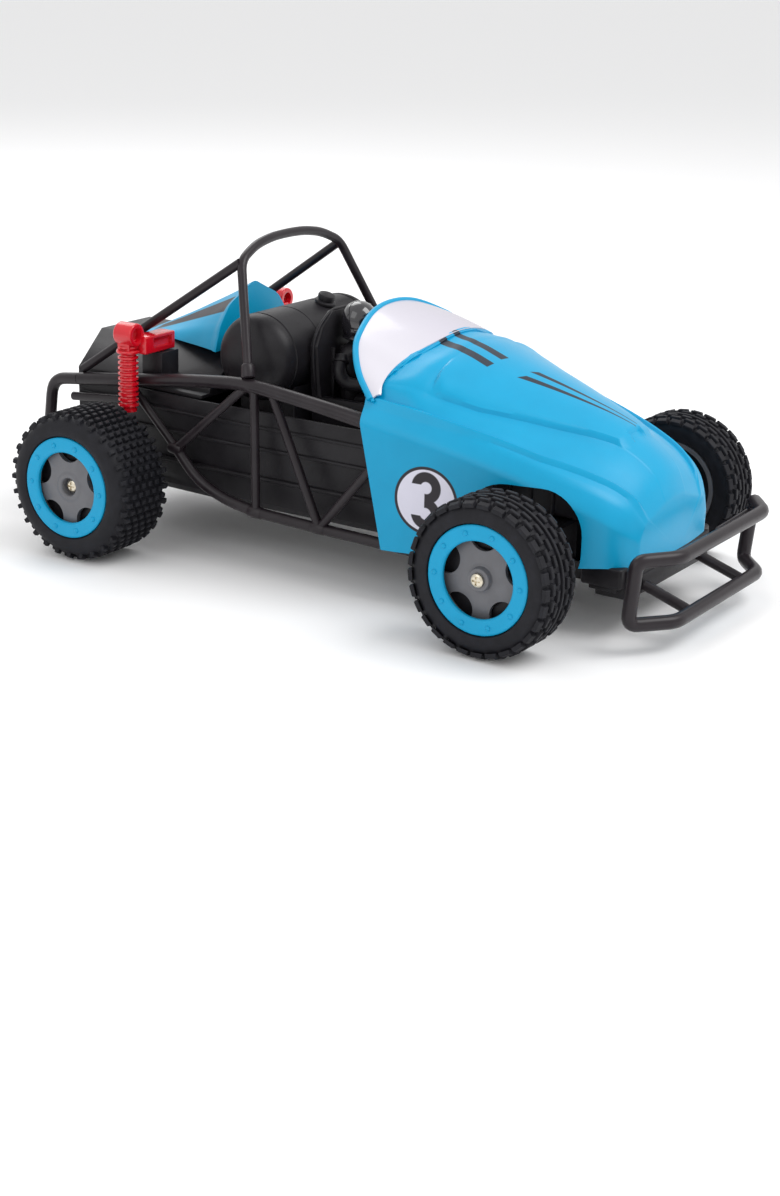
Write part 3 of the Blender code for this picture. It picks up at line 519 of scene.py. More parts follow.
def turned_metal(name, colour, roughness):
    """Metal with the fine rings that a lathe leaves and small dull patches."""
    finish = Finish(name, colour, roughness, metallic=1.0)
    lines = finish.noise(0.5, 2.0, stretch=(6.0, 0.5, 0.5))
    patch = finish.noise(2.0, 4.0).step(0.6, 0.2)
    finish.to("Base Color", finish.blend(patch * 0.5, colour, tuple(c * 0.72 for c in colour)))
    finish.to("Roughness", roughness - 0.04 + lines * 0.12 + patch * 0.1)
    finish.relief(lines, 0.02)
    return finish.material


def board_paint():
    """A circuit board: green mask with copper tracks showing through."""
    finish = Finish("board_finish", (0.012, 0.16, 0.06), 0.4)
    x, y, z = finish.axes()
    tracks = (x * 1400.0 + finish.noise(6, 1.0) * 14.0).math('SINE').step(0.72, 0.1)
    finish.to("Base Color", finish.blend(tracks, (0.010, 0.13, 0.05), (0.03, 0.26, 0.09)))
    finish.to("Roughness", 0.34 + finish.noise(3) * 0.14)
    finish.relief(tracks, 0.03)
    return finish.material


PAINT = {
    "blue_plastic": plain("blue_moulding", BLUE, 0.40, coat=0.05, coat_roughness=0.3, specular=0.28, lighter=0.08),
    "black_plastic": plain("black_moulding", (0.0075, 0.0065, 0.0085), 0.42, specular=0.26, lighter=0.4,
                           grain_mm=0.6, grain_depth=0.05, rough_spread=0.16),
    "frame_plastic": plain("tube_moulding", (0.0115, 0.008, 0.0105), 0.32, specular=0.3, lighter=0.35,
                           grain_mm=0.7, grain_depth=0.03, rough_spread=0.14),
    "red_plastic": plain("red_moulding", (0.56, 0.002, 0.012), 0.22, coat=0.4, coat_roughness=0.12,
                         lighter=0.12, grain_depth=0.015),
    "grey_plastic": plain("hub_moulding", (0.115, 0.115, 0.125), 0.36, lighter=0.16, cloud_mm=6,
                          grain_depth=0.03),
    "white_nylon": plain("nylon_moulding", (0.72, 0.72, 0.69), 0.42, lighter=0.05, grain_depth=0.02),
    "battery_wrap": plain("shrink_wrap", (0.05, 0.30, 0.09), 0.28, coat=0.4, coat_roughness=0.1,
                          lighter=0.2, grain_mm=3.0, grain_depth=0.08),
    "helmet_gloss": plain("helmet_lacquer", (0.010, 0.009, 0.012), 0.14, coat=1.0, coat_roughness=0.05,
                          lighter=0.3, grain_mm=4.0, grain_depth=0.01, rough_spread=0.06),
    "tyre_rubber": rubber_paint(),
    "screen_plastic": screen_paint(),
    "screw_steel": turned_metal("screw_plating", (0.68, 0.62, 0.50), 0.26),
    "brass": turned_metal("pinion_brass", (0.66, 0.46, 0.17), 0.28),
    "motor_steel": turned_metal("motor_can", (0.55, 0.55, 0.57), 0.30),
    "board_green": board_paint(),
}
HOOD_PAINT, TAIL_PAINT = hood_paint(), tail_paint()
SLOT_OF = {entry["node"]: entry["material_slot"] for entry in frame["record"]["subparts"]}
for node_name, node in frame["nodes"].items():
    node.data.materials.clear()
    node.data.materials.append(PAINT[SLOT_OF[node_name]])


# ---------------------------------------------------------------- wheels
# outlines as (radius, distance from the middle plane); the rest as listed beside each table
CARCASS = {
    "rear": [(24.6, 77.3), (27.0, 75.6), (30.6, 74.7), (33.8, 75.3), (35.6, 77.1), (36.4, 80), (36.4, 92),
             (36.4, 105), (35.9, 107.6), (34.6, 109.8), (32.4, 111.2), (29.6, 111.8), (27.2, 111.4),
             (26.6, 110.9), (26.3, 110.2), (26.3, 108.6), (24.6, 108.6)],
    "front": [(24.6, 88.7), (27.0, 87.2), (31.0, 86.2), (34.4, 86.9), (35.7, 88.6), (36.2, 91.5), (36.3, 98.7),
              (36.2, 106), (35.7, 108.8), (34.4, 110.7), (31.4, 111.9), (27.3, 112.1), (26.5, 111.9),
              (26.3, 109.2), (24.6, 109.2)],
}
HUB_DISC = {
    "rear": [(2.5, 88.0), (5.2, 88.0), (5.6, 104.6), (9.0, 105.2), (22.2, 105.4), (22.2, 107.8),
             (8.0, 108.3), (6.6, 108.9), (5.0, 108.9), (4.4, 108.2), (4.4, 104.5), (2.5, 104.5)],
    "front": [(2.6, 90.0), (5.2, 90.0), (5.6, 103.8), (9.0, 104.2), (22.2, 104.4), (22.2, 106.4),
              (7.2, 107.0), (5.8, 107.4), (5.4, 110.2), (5.0, 110.5), (2.6, 110.5)],
}
HUB_WALL = {"rear": (108.3, 77.6, 108.3), "front": (107.0, 88.9, 107.8)}  # face, barrel from, barrel to
# where the dark disc of painted shade sits behind each hub's windows
WINDOW_SHADE_DISC = {"rear": 103.7, "front": 103.0}
CLAMP = {"rear": (108.9, 111.4), "front": (109.5, 111.7)}  # low, high
SCREW = {"rear": (104.9, 106.9, 98.0), "front": (110.7, 112.4, 104.0)}  # head from, head to, shank from


def tread_unit(width, length, height, shrink):
    """One rubber block: its top smaller than its foot and eased round the edge."""
    deselect()
    bpy.ops.mesh.primitive_cube_add(size=1)
    unit = named("tread_unit")
    unit.scale = (width * MM, length * MM, (height + 0.6) * MM)
    bpy.ops.object.transform_apply(location=True, rotation=True, scale=True)
    top = (height + 0.6) / 2 * MM
    for vertex in unit.data.vertices:
        vertex.co.z += top - 0.6 * MM
    bpy.ops.object.mode_set(mode='EDIT')
    bpy.ops.mesh.select_all(action='DESELECT')
    bpy.ops.object.mode_set(mode='OBJECT')
    for face in unit.data.polygons:
        face.select = face.normal.z > 0.9
    bpy.ops.object.mode_set(mode='EDIT')
    bpy.ops.mesh.select_mode(type='FACE')
    bpy.ops.transform.resize(value=(shrink, shrink, 1))
    bpy.ops.mesh.bevel(offset=0.28 * MM, segments=1, affect='EDGES')
    bpy.ops.object.mode_set(mode='OBJECT')
    return unit


def round_axle(axle, angle, x, radius, tilt=0.0):
    return (Matrix.Translation(axle) @ Matrix.Rotation(angle, 4, 'X')
            @ Matrix.Translation((x * MM, 0, radius * MM)) @ Matrix.Rotation(tilt, 4, 'Y'))


def rear_tread(side, axle):
    """Staggered rows of small pins."""
    places = []
    for row in range(56):
        angle = row / 56 * math.tau
        count = 7 if row % 2 == 0 else 6
        for i in range(count):
            off = (i - (count - 1) / 2) * 5.2
            lean = 0.42 * off / abs(off) if abs(off) > 14 else 0.0
            radius = 36.2 if abs(off) < 12 else 36.0 if abs(off) < 14 else 35.5
            places.append(round_axle(axle, angle, side * 92.3 + off, radius, lean))
    return scattered("rear_tread_" + SIDE_NAME[side], tread_unit(3.5, 2.7, 2.3, 0.78), places)


def front_tread(side, axle):
    """A centre rib between staggered columns of long blocks."""
    name = "front_tread_" + SIDE_NAME[side]
    rib = turned(name + "_rib", eased([(35.9, 97.8), (37.6, 97.9), (37.6, 99.5), (35.9, 99.6)], 0.3, 2, True),
                 axle, (side, 0, 0), 72)
    columns, shoulders = [], []
    for row in range(29):
        for k, off in enumerate((-8.9, -4.4, 4.4, 8.9)):
            angle = (row + (0.5 if k % 2 else 0.0)) / 29 * math.tau
            columns.append(round_axle(axle, angle, side * 98.7 + off, 35.95))
        for off in (-12.4, 12.4):
            angle = (row + 0.25) / 29 * math.tau
            shoulders.append(round_axle(axle, angle, side * 98.7 + off, 35.15, math.copysign(0.42, off)))
    middle = scattered(name + "_blocks", tread_unit(2.6, 6.1, 1.75, 0.86), columns)
    outer = scattered(name + "_shoulders", tread_unit(3.4, 6.1, 1.35, 0.86), shoulders)
    return joined(name, rib, middle, outer)


def hub(name, side, axle, face, barrel_from, barrel_to, boss):
    """The wheel's barrel with a windowed disc set in it."""
    outline = [(21.8, barrel_from), (24.3, barrel_from), (24.3, barrel_to), (23.2, barrel_to + 0.2),
               (22.3, face - 3.0), (21.8, face - 3.6)]
    wall = turned(name, eased(outline, 0.25, 2, True), axle, (side, 0, 0), 80)
    disc = turned(name + "_disc", eased(boss, 0.3, 2, True), axle, (side, 0, 0), 80)
    tools = []
    for i in range(5):
        angle = math.radians(90 + i * 72)
        centre = axle + Vector((0, math.cos(angle), math.sin(angle))) * (20.4 * MM)
        tools.append(turned(f"window_{i}", [(0, face - 8), (7.6, face - 8), (7.6, face + 4), (0, face + 4)],
                            centre, (side, 0, 0), 40))
    carved(disc, *tools)
    rounded(disc, 0.22, 2, 50)
    return smooth(joined(name, wall, disc), 32)


def bead_ring(name, side, axle, low, high):
    """The blue ring that clamps the tyre, with ten domed rivets."""
    ring = turned(name, eased([(18.3, low), (26.0, low), (26.0, high - 0.5), (25.2, high), (19.2, high),
                               (18.3, high - 0.7)], 0.3, 3, True), axle, (side, 0, 0), 96)
    rivet = ball("rivet", 1.35, (1, 1, 0.62), 14, 8)
    places = []
    for i in range(10):
        angle = math.radians(18 + i * 36)
        middle = axle + Vector((side * (high - 0.05) * MM, math.sin(angle) * 22.3 * MM,
                                math.cos(angle) * 22.3 * MM))
        places.append(Matrix.Translation(middle) @ Matrix.Rotation(side * math.pi / 2, 4, 'Y'))
    return smooth(joined(name, ring, scattered(name + "_rivets", rivet, places)), 40)


def wheel_screw(name, side, axle, head_from, head_to, shank_from):
    """A pan-head screw with a cross recess."""
    outline = [(0, head_to), (1.8, head_to), (2.7, head_to - 0.25), (3.2, head_to - 0.7), (3.4, head_from + 0.25),
               (3.3, head_from), (1.2, head_from), (1.2, shank_from), (0, shank_from)]
    screw = turned(name, outline, axle, (side, 0, 0), 40)
    tools = []
    low, high = between(side, head_to - 1, head_to + 1)
    y, z = axle.y / MM - REAR_AXLE_TO_MIDDLE, axle.z / MM
    for half_y, half_z in ((2.1, 0.5), (0.5, 2.1)):
        tools.append(block("cross", (low, y - half_y, z - half_z), (high, y + half_y, z + half_z)))
    return smooth(carved(screw, *tools), 30)


def window_shade_disc(name, axle, out, place):
    """A dark disc set behind the hub's windows as painted shade, standing for the shade inside the wheel."""
    outline = [(5.5, place), (21.9, place), (21.9, place + 0.7), (14.0, place + 0.7), (12.5, place + 0.3),
               (11.0, place + 0.7), (5.5, place + 0.7)]
    return turned(name, eased(outline, 0.2, 2, True), axle, out, 64)


def make_wheels():
    treads = {"rear": rear_tread, "front": front_tread}
    for side in (RIGHT, LEFT):
        tag = "_" + SIDE_NAME[side]
        out = (side, 0, 0)
        ends = (("rear", at(0, 0, REAR_R), "rear_axle", "rear_axle"),
                ("front", at(0, FRONT_Y, FRONT_R), "front_wheel" + tag, "knuckle" + tag))
        for end, axle, wheel, _ in ends:
            carcass = turned(end + "_carcass" + tag, eased(CARCASS[end], 1.0, 2, True), axle, out, 96)
            fitted(carcass, wheel, "tyre_rubber", end + "_tyre" + tag)
            fitted(treads[end](side, axle), wheel, "tyre_rubber")
        for end, axle, wheel, _ in ends:
            fitted(hub(end + "_hub" + tag, side, axle, *HUB_WALL[end], HUB_DISC[end]), wheel, "grey_plastic",
                   end + "_rim" + tag)
        for end, axle, wheel, _ in ends:
            # a dark disc behind the hub's windows: painted shade for the inside of the wheel
            fitted(window_shade_disc(end + "_window_shade_disc" + tag, axle, out, WINDOW_SHADE_DISC[end]), wheel, "black_plastic")
        for end, axle, wheel, _ in ends:
            fitted(bead_ring(end + "_clamp" + tag, side, axle, *CLAMP[end]), wheel, "blue_plastic",
                   end + "_bead_ring" + tag)
        for end, axle, _, holder in ends:
            fitted(wheel_screw(end + "_screw" + tag, side, axle, *SCREW[end]), holder, "screw_steel",
                   end + "_wheel_screw" + tag)


# ---------------------------------------------------------------- tube frame
UPPER_RAIL = [(54.3, 38.0, 79.9), (57.0, -8.0, 86.3), (61.2, -40.0, 91.4), (65.0, -80.0, 96.3),
              (64.0, -146.0, 88.7), (61.8, -176.0, 82.0)]
LOWER_RAIL = [(61.0, -32.0, 54.5), (62.0, -46.0, 40.5), (62.0, -63.5, 33.0), (62.5, -84.0, 30.0),
              (62.0, -123.0, 28.3), (61.0, -176.0, 26.8)]
STRUTS = [[(65.0, -84.0, 94.0), (62.5, -84.0, 30.0)], [(65.0, -95.0, 93.0), (62.0, -122.5, 28.5)],
          [(62.0, -122.5, 28.5), (64.8, -149.0, 59.0), (63.5, -171.0, 84.5)],
          [(64.0, -78.0, 94.0), (61.0, -32.0, 54.5)],
          [(61.0, -32.0, 54.5), (57.0, -6.5, 75.0), (56.6, 4.0, 84.5)], [(52.5, 44.0, 69.3), (57.0, -6.5, 75.0)]]
REAR_LOOP = [(54.28, 38.4, 79.85), (52.3, 58.5, 76.8), (51.8, 62.3, 47.0)]
HOOP = [(63.7, -79.4, 101.3), (43.9, -60.2, 152.6), (29.0, -58.4, 158.6), (14.5, -57.7, 160.8),
        (0.0, -57.5, 161.2)]
BUMPER_LOOP = [(65.6, -298.7, 46.2), (47.8, -311.7, 46.2), (-47.8, -311.7, 46.2), (-65.6, -298.7, 46.2),
               (-65.0, -296.0, 15.0), (-46.5, -311.6, 15.0), (46.5, -311.6, 15.0), (65.0, -296.0, 15.0)]


def make_frame():
    for side in (RIGHT, LEFT):
        name = "side_tubes_" + SIDE_NAME[side]
        parts = [tube(name, sided(side, UPPER_RAIL), 3.4, 14), tube("low", sided(side, LOWER_RAIL), 2.8, 9)]
        parts += [tube("strut", sided(side, points), 2.3, 9) for points in STRUTS]
        # a second, slimmer bead runs under the upper rail ahead of the hoop
        groove = [(66.9, -84.0, 93.8), (66.6, -118.0, 90.0), (65.6, -150.0, 85.2)]
        parts.append(tube("bead", sided(side, groove), 1.0, 8))
        for x, y, z in ((62.5, -84.0, 30.0), (62.0, -122.5, 28.5), (61.0, -32.0, 54.5), (64.6, -82.0, 94.6)):
            knot = turned("knot", eased([(0, -4.2), (3.0, -4.2), (3.3, 0), (3.0, 4.2), (0, 4.2)], 0.8, 2),
                          at(side * x, y, z), (0, 1, 0.05), 24)
            parts.append(knot)
        fitted(smooth(joined(name, *parts), 40), "car", "frame_plastic", "side_frame_" + SIDE_NAME[side])
        brace = tube("hoop_stay_" + SIDE_NAME[side],
                     sided(side, [(44.5, -60.0, 151.6), (53.0, 36.6, 85.2)]), 2.4)
        fitted(brace, "car", "frame_plastic", "hoop_brace_" + SIDE_NAME[side])
    loop = tube("rear_tube", sided(RIGHT, REAR_LOOP) + sided(LEFT, reversed(REAR_LOOP)), 3.2, 9)
    fitted(loop, "car", "frame_plastic", "rear_loop")
    hoop = tube("hoop_tube", across(HOOP), 2.4, 6)
    # a collar where each leg meets the rail
    sockets = [turned("socket", eased([(0, -3), (3.6, -3), (3.4, 3), (2.6, 4.5), (0, 4.5)], 0.7, 2),
                      at(side * 63.6, -79.2, 101.6), (side * -0.36, 0.35, 0.93), 28) for side in (RIGHT, LEFT)]
    fitted(smooth(joined("hoop_tube", hoop, *sockets), 40), "car", "frame_plastic", "roll_hoop")
    bumper = [tube("bumper_tube", BUMPER_LOOP, 3.5, 5, True)]
    for side in (RIGHT, LEFT):
        bumper.append(tube("stay", [(side * 30, -311, 15.5), (side * 30, -286.8, 23.5)], 2.6))
        bumper.append(tube("stay", [(side * 64, -298.2, 40), (side * 48.5, -288.6, 31.5)], 2.4))
    fitted(smooth(joined("bumper_tube", *bumper), 40), "car", "frame_plastic", "front_bumper")


# ---------------------------------------------------------------- hood
# y, side x, side bottom z, side top z, shoulder x, shoulder z, panel-edge x, panel-edge z, centre z
HOOD_STATIONS = [
    (-150.0, 70.0, 27.0, 89.0, 64.5, 98.5, 56.0, 103.0, 122.0),
    (-176.0, 69.0, 27.5, 85.0, 62.5, 94.5, 47.8, 106.0, 118.5),
    (-205.0, 66.5, 29.0, 79.5, 59.5, 88.5, 37.8, 99.5, 109.5),
    (-235.0, 62.5, 31.0, 72.0, 55.5, 80.5, 27.0, 92.0, 98.5),
    (-258.0, 57.5, 33.0, 64.0, 51.0, 73.0, 19.0, 85.5, 89.0),
    (-272.0, 52.0, 34.0, 58.0, 46.5, 67.0, 17.0, 78.0, 81.0),
    (-281.0, 45.0, 34.0, 52.0, 40.0, 60.5, 15.0, 69.5, 72.0),
    (-286.0, 37.0, 34.0, 46.0, 33.0, 53.0, 12.0, 59.5, 61.0),
]
HOOD_REAR, COWL_END, COWL_FOOT = -150.0, -176.0, -163.8
PANEL_REAR, PANEL_FRONT, PANEL_RISE = -175.0, -264.5, 2.3
# where the raised panel's edge and the shoulder's ridge run: y, x
PANEL_EDGE = [(-150.0, 57.0), (-172.0, 53.2), (-202.0, 44.4), (-235.0, 29.0), (-261.0, 15.8), (-286.0, 11.0)]
RIDGE = [(-150.0, 64.0), (-176.0, 61.8), (-200.0, 58.4), (-239.0, 50.8), (-265.0, 41.2), (-276.0, 36.0),
         (-284.0, 31.0), (-286.0, 29.5)]


def ramp(value, low, high):
    t = min(max((value - low) / (high - low), 0.0), 1.0)
    return t * t * (3 - 2 * t)


def station_at(y):
    """The hood's section at any y, eased between its stations."""
    rows = HOOD_STATIONS
    k = 0
    while k < len(rows) - 2 and y < rows[k + 1][0]:
        k += 1
    h = rows[k + 1][0] - rows[k][0]
    t = (y - rows[k][0]) / h

    def slope(i, c):
        low, high = max(i - 1, 0), min(i + 1, len(rows) - 1)
        return (rows[high][c] - rows[low][c]) / (rows[high][0] - rows[low][0])
    out = []
    for c in range(1, 9):
        a, b = rows[k][c], rows[k + 1][c]
        out.append((2 * t ** 3 - 3 * t ** 2 + 1) * a + (t ** 3 - 2 * t ** 2 + t) * h * slope(k, c)
                   + (-2 * t ** 3 + 3 * t ** 2) * b + (t ** 3 - t ** 2) * h * slope(k + 1, c))
    return out


def along(table, y):
    for (y0, x0), (y1, x1) in zip(table, table[1:]):
        if y >= y1:
            return x0 + (x1 - x0) * (y - y0) / (y1 - y0)
    return table[-1][1]


def panel_mask(x, y, half):
    """1 on the raised middle panel, 0 off it, with rounded rear corners and a jogged front."""
    share = min(abs(x) / half, 1.0)
    rear = PANEL_REAR - 6 * share ** 8
    front = PANEL_FRONT + (2.6 if abs(x) < 6.5 else 0.0) + 1.5 * share ** 8
    # the step at the rear shows only beside the stripes; between them the panel sinks slowly
    beside = ramp(share, 0.5, 0.85)
    return (ramp(rear - y, 0.0, 1.5) * beside + ramp(-y, 160, 186) * (1 - beside)) * ramp(y - front, 0.0, 1.5)


def hood_height(x, y):
    """The hood's height beside its middle, before the panel is raised."""
    side_x, bottom, side_top, shoulder_x, shoulder_z, panel_x, panel_z, centre = station_at(y)
    if x > shoulder_x:
        return shoulder_z + (side_top - shoulder_z) * (x - shoulder_x) / (side_x - shoulder_x)
    if x > panel_x:
        z = panel_z + (shoulder_z - panel_z) * (x - panel_x) / (shoulder_x - panel_x)
    else:
        mid_x, drop_mid, drop = panel_x * 0.55, (centre - panel_z) * 0.35, centre - panel_z
        quartic = (drop_mid - drop * 0.3025) / (mid_x ** 4 - 0.3025 * panel_x ** 4)
        square = (drop - quartic * panel_x ** 4) / panel_x ** 2
        z = centre - square * x * x - quartic * x ** 4
    # the cowl swells up to meet the screen
    swell = (1.4 + 2.4 * ramp(x, 18, 44)) * (1 - ramp(x, 57.5, 61.5))
    return z + swell * ramp(y, -188, -165)


def cowl_y(x):
    return min(-163.0 + 11.0 * (x / 56.0) ** 2, HOOD_REAR)


def hood_section(y):
    """Right half of the section, bottom to middle: (x, z, y at the cowl)."""
    side_x, bottom, side_top = station_at(y)[:3]
    edge, ridge = along(PANEL_EDGE, y), along(RIDGE, y)
    low, top = Vector((side_x - 0.5, bottom, COWL_FOOT)), Vector((side_x, side_top, HOOD_REAR))
    points = [low.lerp(top, i / 9 * 0.955) for i in range(9)]
    inward = Vector((side_x - 2.0, hood_height(side_x - 2.0, y), HOOD_REAR))
    start = top.lerp(low, 2.2 / (top - low).length)
    for step in range(6):
        t = step / 5
        points.append(start * (1 - t) ** 2 + top * 2 * t * (1 - t) + inward * t ** 2)

    def place(x, rise):
        return Vector((x, hood_height(x, y) + rise, cowl_y(x)))
    foot = max(ridge + 1.7, edge + 6.0)
    for share in (0.25, 0.5, 0.75):
        points.append(place(side_x - 2.0 + (foot - side_x + 2.0) * share, 0.0))
    fade = ramp(y, -286.5, -281)
    for off, rise in ((1.7, 0.0), (0.8, 1.5), (0.0, 2.0), (-0.9, 1.3), (-2.0, -0.4), (-3.2, -0.5)):
        points.append(place(foot - 1.7 + off, rise * (0.4 + 0.6 * fade)))
    inner = foot - 1.7 - 3.2
    for share in (0.35, 0.7):
        points.append(place(inner + (edge + 1.1 - inner) * share, -0.2))
    on = panel_mask(edge * 0.8, y, edge)
    points += [place(edge + 1.1, -0.2 - 0.35 * on), place(edge + 0.45, -0.2 - 0.2 * on)]
    for i in range(16):
        share = 1 - (i / 15) ** 1.15
        x = edge * share
        rise = panel_mask(x, y, edge) * PANEL_RISE * (1 if i else 0.62)
        points.append(place(x, rise))
    return points


def hood_rows():
    marks = [-150 - 2.4 * i for i in range(10)] + [-174.2, -174.8, -175.3, -175.8, -176.3, -176.9, -177.6, -178.6,
                                                  -179.8, -181.2, -182.6]
    marks += [-184.5 - 2.7 * i for i in range(27)] + [-256.4, -257, -257.8, -258.6, -259.2, -260, -260.8, -261.6]
    marks += [-263.5, -265.5, -267.5, -269.5, -271.5, -273.5, -275.2, -277, -278.6, -280, -281.4, -282.6,
              -283.6, -284.6, -285.4, -286]
    marks = sorted(set(marks), reverse=True)
    rows = []
    for y in marks:
        # the cut edge's slant fades out along the cowl
        share = (HOOD_REAR - y) / (HOOD_REAR - COWL_END)
        half = [(v.x, v.z + (COWL_END - v.z) * share if share < 1 else y, v.y) for v in hood_section(y)]
        rows.append(across(half))
    last = rows[-1]
    for step in range(1, 13):
        shrink = 1 - (step / 12) ** 1.4
        ahead = 2.6 * (1 - shrink * shrink)
        rows.append([(x * shrink, y - ahead, 34 + (z - 34) * shrink) for x, y, z in last])
    return rows


def make_hood():
    rows = hood_rows()
    hood = skin("hood", rows)
    top = max(hood.data.polygons, key=lambda face: face.center.z)
    if top.normal.z < 0:
        edited(hood, (bpy.ops.mesh.flip_normals, {}))
    worked(hood, 'SOLIDIFY', thickness=1.6 * MM, offset=-1, use_even_offset=False)
    arches = []
    for side in (RIGHT, LEFT):
        low, high = between(side, 40, 84)
        arches.append(block("arch", (low, -266, 18), (high, -207, 70), 21.5, 10))
    carved(hood, *arches)
    edge = [point for point in rows[0] if abs(point[0]) < 63.5 and point[2] > 95]
    bead = tube("cowl_bead", [(x, y + 0.5, z + 0.3) for x, y, z in edge], 1.25, 0.5, False, 3)
    lip_rows = []
    base = flowing(across(SCREEN_BASE), 61)
    for step in range(5):
        row = []
        for point in base:
            near = min(edge, key=lambda p: abs(p[0] - point.x))
            ahead = Vector((point.x, near[1] - 1.5, near[2] + 0.2))
            start = point + Vector((0, 1.2, 0.2))
            row.append(start.lerp(ahead, step / 4) - Vector((0, 0, 0.5)))
        lip_rows.append(row)
    lip = skin("cowl_lip", lip_rows)
    worked(lip, 'SOLIDIFY', thickness=1.2 * MM, offset=0)
    fitted(smooth(joined("hood", hood, bead, lip), 30), "car", "blue_plastic", "hood_shell", paint=HOOD_PAINT)


RIM_ARCH = [(66.0, -153.5, 99.5), (60.0, -143.0, 109.0), (50.0, -134.0, 117.2), (40.0, -129.0, 123.3),
            (20.0, -124.0, 131.0), (0.0, -122.6, 133.4)]
SCREEN_BASE = [(62.5, -157.0, 101.5), (58.5, -155.5, 106.0), (51.0, -155.0, 110.5), (41.0, -157.0, 115.5),
               (21.0, -162.0, 121.5), (0.0, -163.5, 124.0)]


def make_screen():
    arch, base = flowing(across(RIM_ARCH), 61), flowing(across(SCREEN_BASE), 61)
    rim = tube("screen_rim", arch, 1.6, 0.5, False, 4)
    inner = tube("screen_rim_bead", [Vector(p) + Vector((0, -1.6, -0.9)) for p in arch], 0.9, 0.5, False, 3)
    fitted(smooth(joined("screen_rim", rim, inner), 40), "car", "blue_plastic", "windscreen_rim")
    rows = []
    for step in range(13):
        t = step / 12
        row = []
        for upper, lower in zip(arch, base):
            start = upper + (lower - upper).normalized() * 1.2
            row.append(start.lerp(lower, t) + Vector((0, -1.2, 3.6)) * (t * (1 - t)))
        rows.append(row)
    screen = skin("screen", rows)
    worked(screen, 'SOLIDIFY', thickness=1.0 * MM, offset=0)
    fitted(smooth(screen, 40), "car", "screen_plastic", "windscreen")


# ---------------------------------------------------------------- rear
TAIL_SECTIONS = [  # y, half width at base, base z, half width at shoulder, shoulder z, ridge z
    (-36.5, 33.0, 101.0, 20.5, 123.5, 133.5),
    (-20.0, 27.0, 101.0, 16.0, 116.0, 125.0),
    (0.0, 21.0, 101.0, 11.0, 108.5, 115.0),
    (26.0, 15.0, 100.9, 6.0, 101.6, 102.6),
]


def tail_ring(values, grow=0.0):
    y, base, base_z, shoulder, shoulder_z, ridge_z = values
    mid, mid_z = (base + shoulder) / 2 + 2, base_z + (shoulder_z - base_z) * 0.55
    half = [(base, base_z), (mid, mid_z), (shoulder, shoulder_z), (0, ridge_z)]
    half = [(x + grow if x else 0, z + (grow if z > base_z else 0)) for x, z in half]
    full = [(-x, y, z) for x, z in half] + [(x, y, z) for x, z in reversed(half[:-1])]
    return [tuple(p) for p in eased(full, 3.2, 5, every=True)]


def make_rear():
    rows = []
    for y in [-36.5 + 62.5 * i / 26 for i in range(27)]:
        k = next(i for i in range(3) if y <= TAIL_SECTIONS[i + 1][0] + 0.001)
        a, b = TAIL_SECTIONS[k], TAIL_SECTIONS[k + 1]
        t = (y - a[0]) / (b[0] - a[0])
        values = [p + (q - p) * t for p, q in zip(a, b)]
        rows.append(tail_ring(values, 0.9 if y < -33.5 else 0.9 * (1 - ramp(y, -33.5, -32.4))))
    tail = skin("tail", rows, closed=True, caps=True)
    fitted(smooth(rounded(tail, 0.5, 3, 50), 36), "car", "blue_plastic", "tail_fairing", paint=TAIL_PAINT)
    kept("rear_deck", "car", "black_plastic", 0.9)
    for side in (RIGHT, LEFT):
        make_shock(side)


def make_shock(side):
    """A dummy damper in one red moulding: coils, hollow top boss and an arm with a pocket."""
    name = "damper_" + SIDE_NAME[side]
    x, y = side * 66.3, -5.0
    outline = [(0, 105.5), (4.9, 105.5), (5.2, 104.6)]
    for i in range(11):
        z = 103.6 - i * 2.75
        outline += [(4.0, z), (4.2, z - 0.5), (5.3, z - 0.9), (5.3, z - 1.8), (4.2, z - 2.2)]
    outline += [(3.6, 73.0), (4.4, 72.4), (4.2, 71.2), (0, 71.0)]
    coil = turned(name, outline, at(x, y, 0), (0, 0, 1), 36)
    boss = turned("boss", eased([(3.5, -5.8), (5.6, -5.8), (6.0, -5.2), (6.0, 5.0), (5.4, 5.7), (0, 5.7), (0, -2.2),
                                 (3.5, -2.2)], 0.3, 2, True), at(x, -5.3, 111.5), (0, 1, 0), 40)
    neck = block("neck", (x - 4, -9, 102), (x + 4, -1, 109), 0.8)
    low, high = between(side, 39, 63.5)
    arm = block("arm", (low, -14.3, 101.2), (high, -4.6, 110.4), 0.9, 3)
    low, high = between(side, 42, 57)
    carved(arm, block("pocket", (low, -20, 103.8), (high, -12.4, 108.9), 0.4))
    collar = turned("collar", eased([(0, 103.4), (5.9, 103.4), (6.1, 102.6), (5.9, 101.8), (0, 101.8)], 0.2, 2),
                    at(x, y, 0), (0, 0, 1), 36)
    fitted(smooth(joined(name, coil, boss, neck, arm, collar), 32), "car", "red_plastic",
           "shock_" + SIDE_NAME[side])


# ---------------------------------------------------------------- cockpit
BARREL_Y, BARREL_Z, BARREL_RADIUS = -66.7, 103.3, 22.3
HELMET_Y = -103


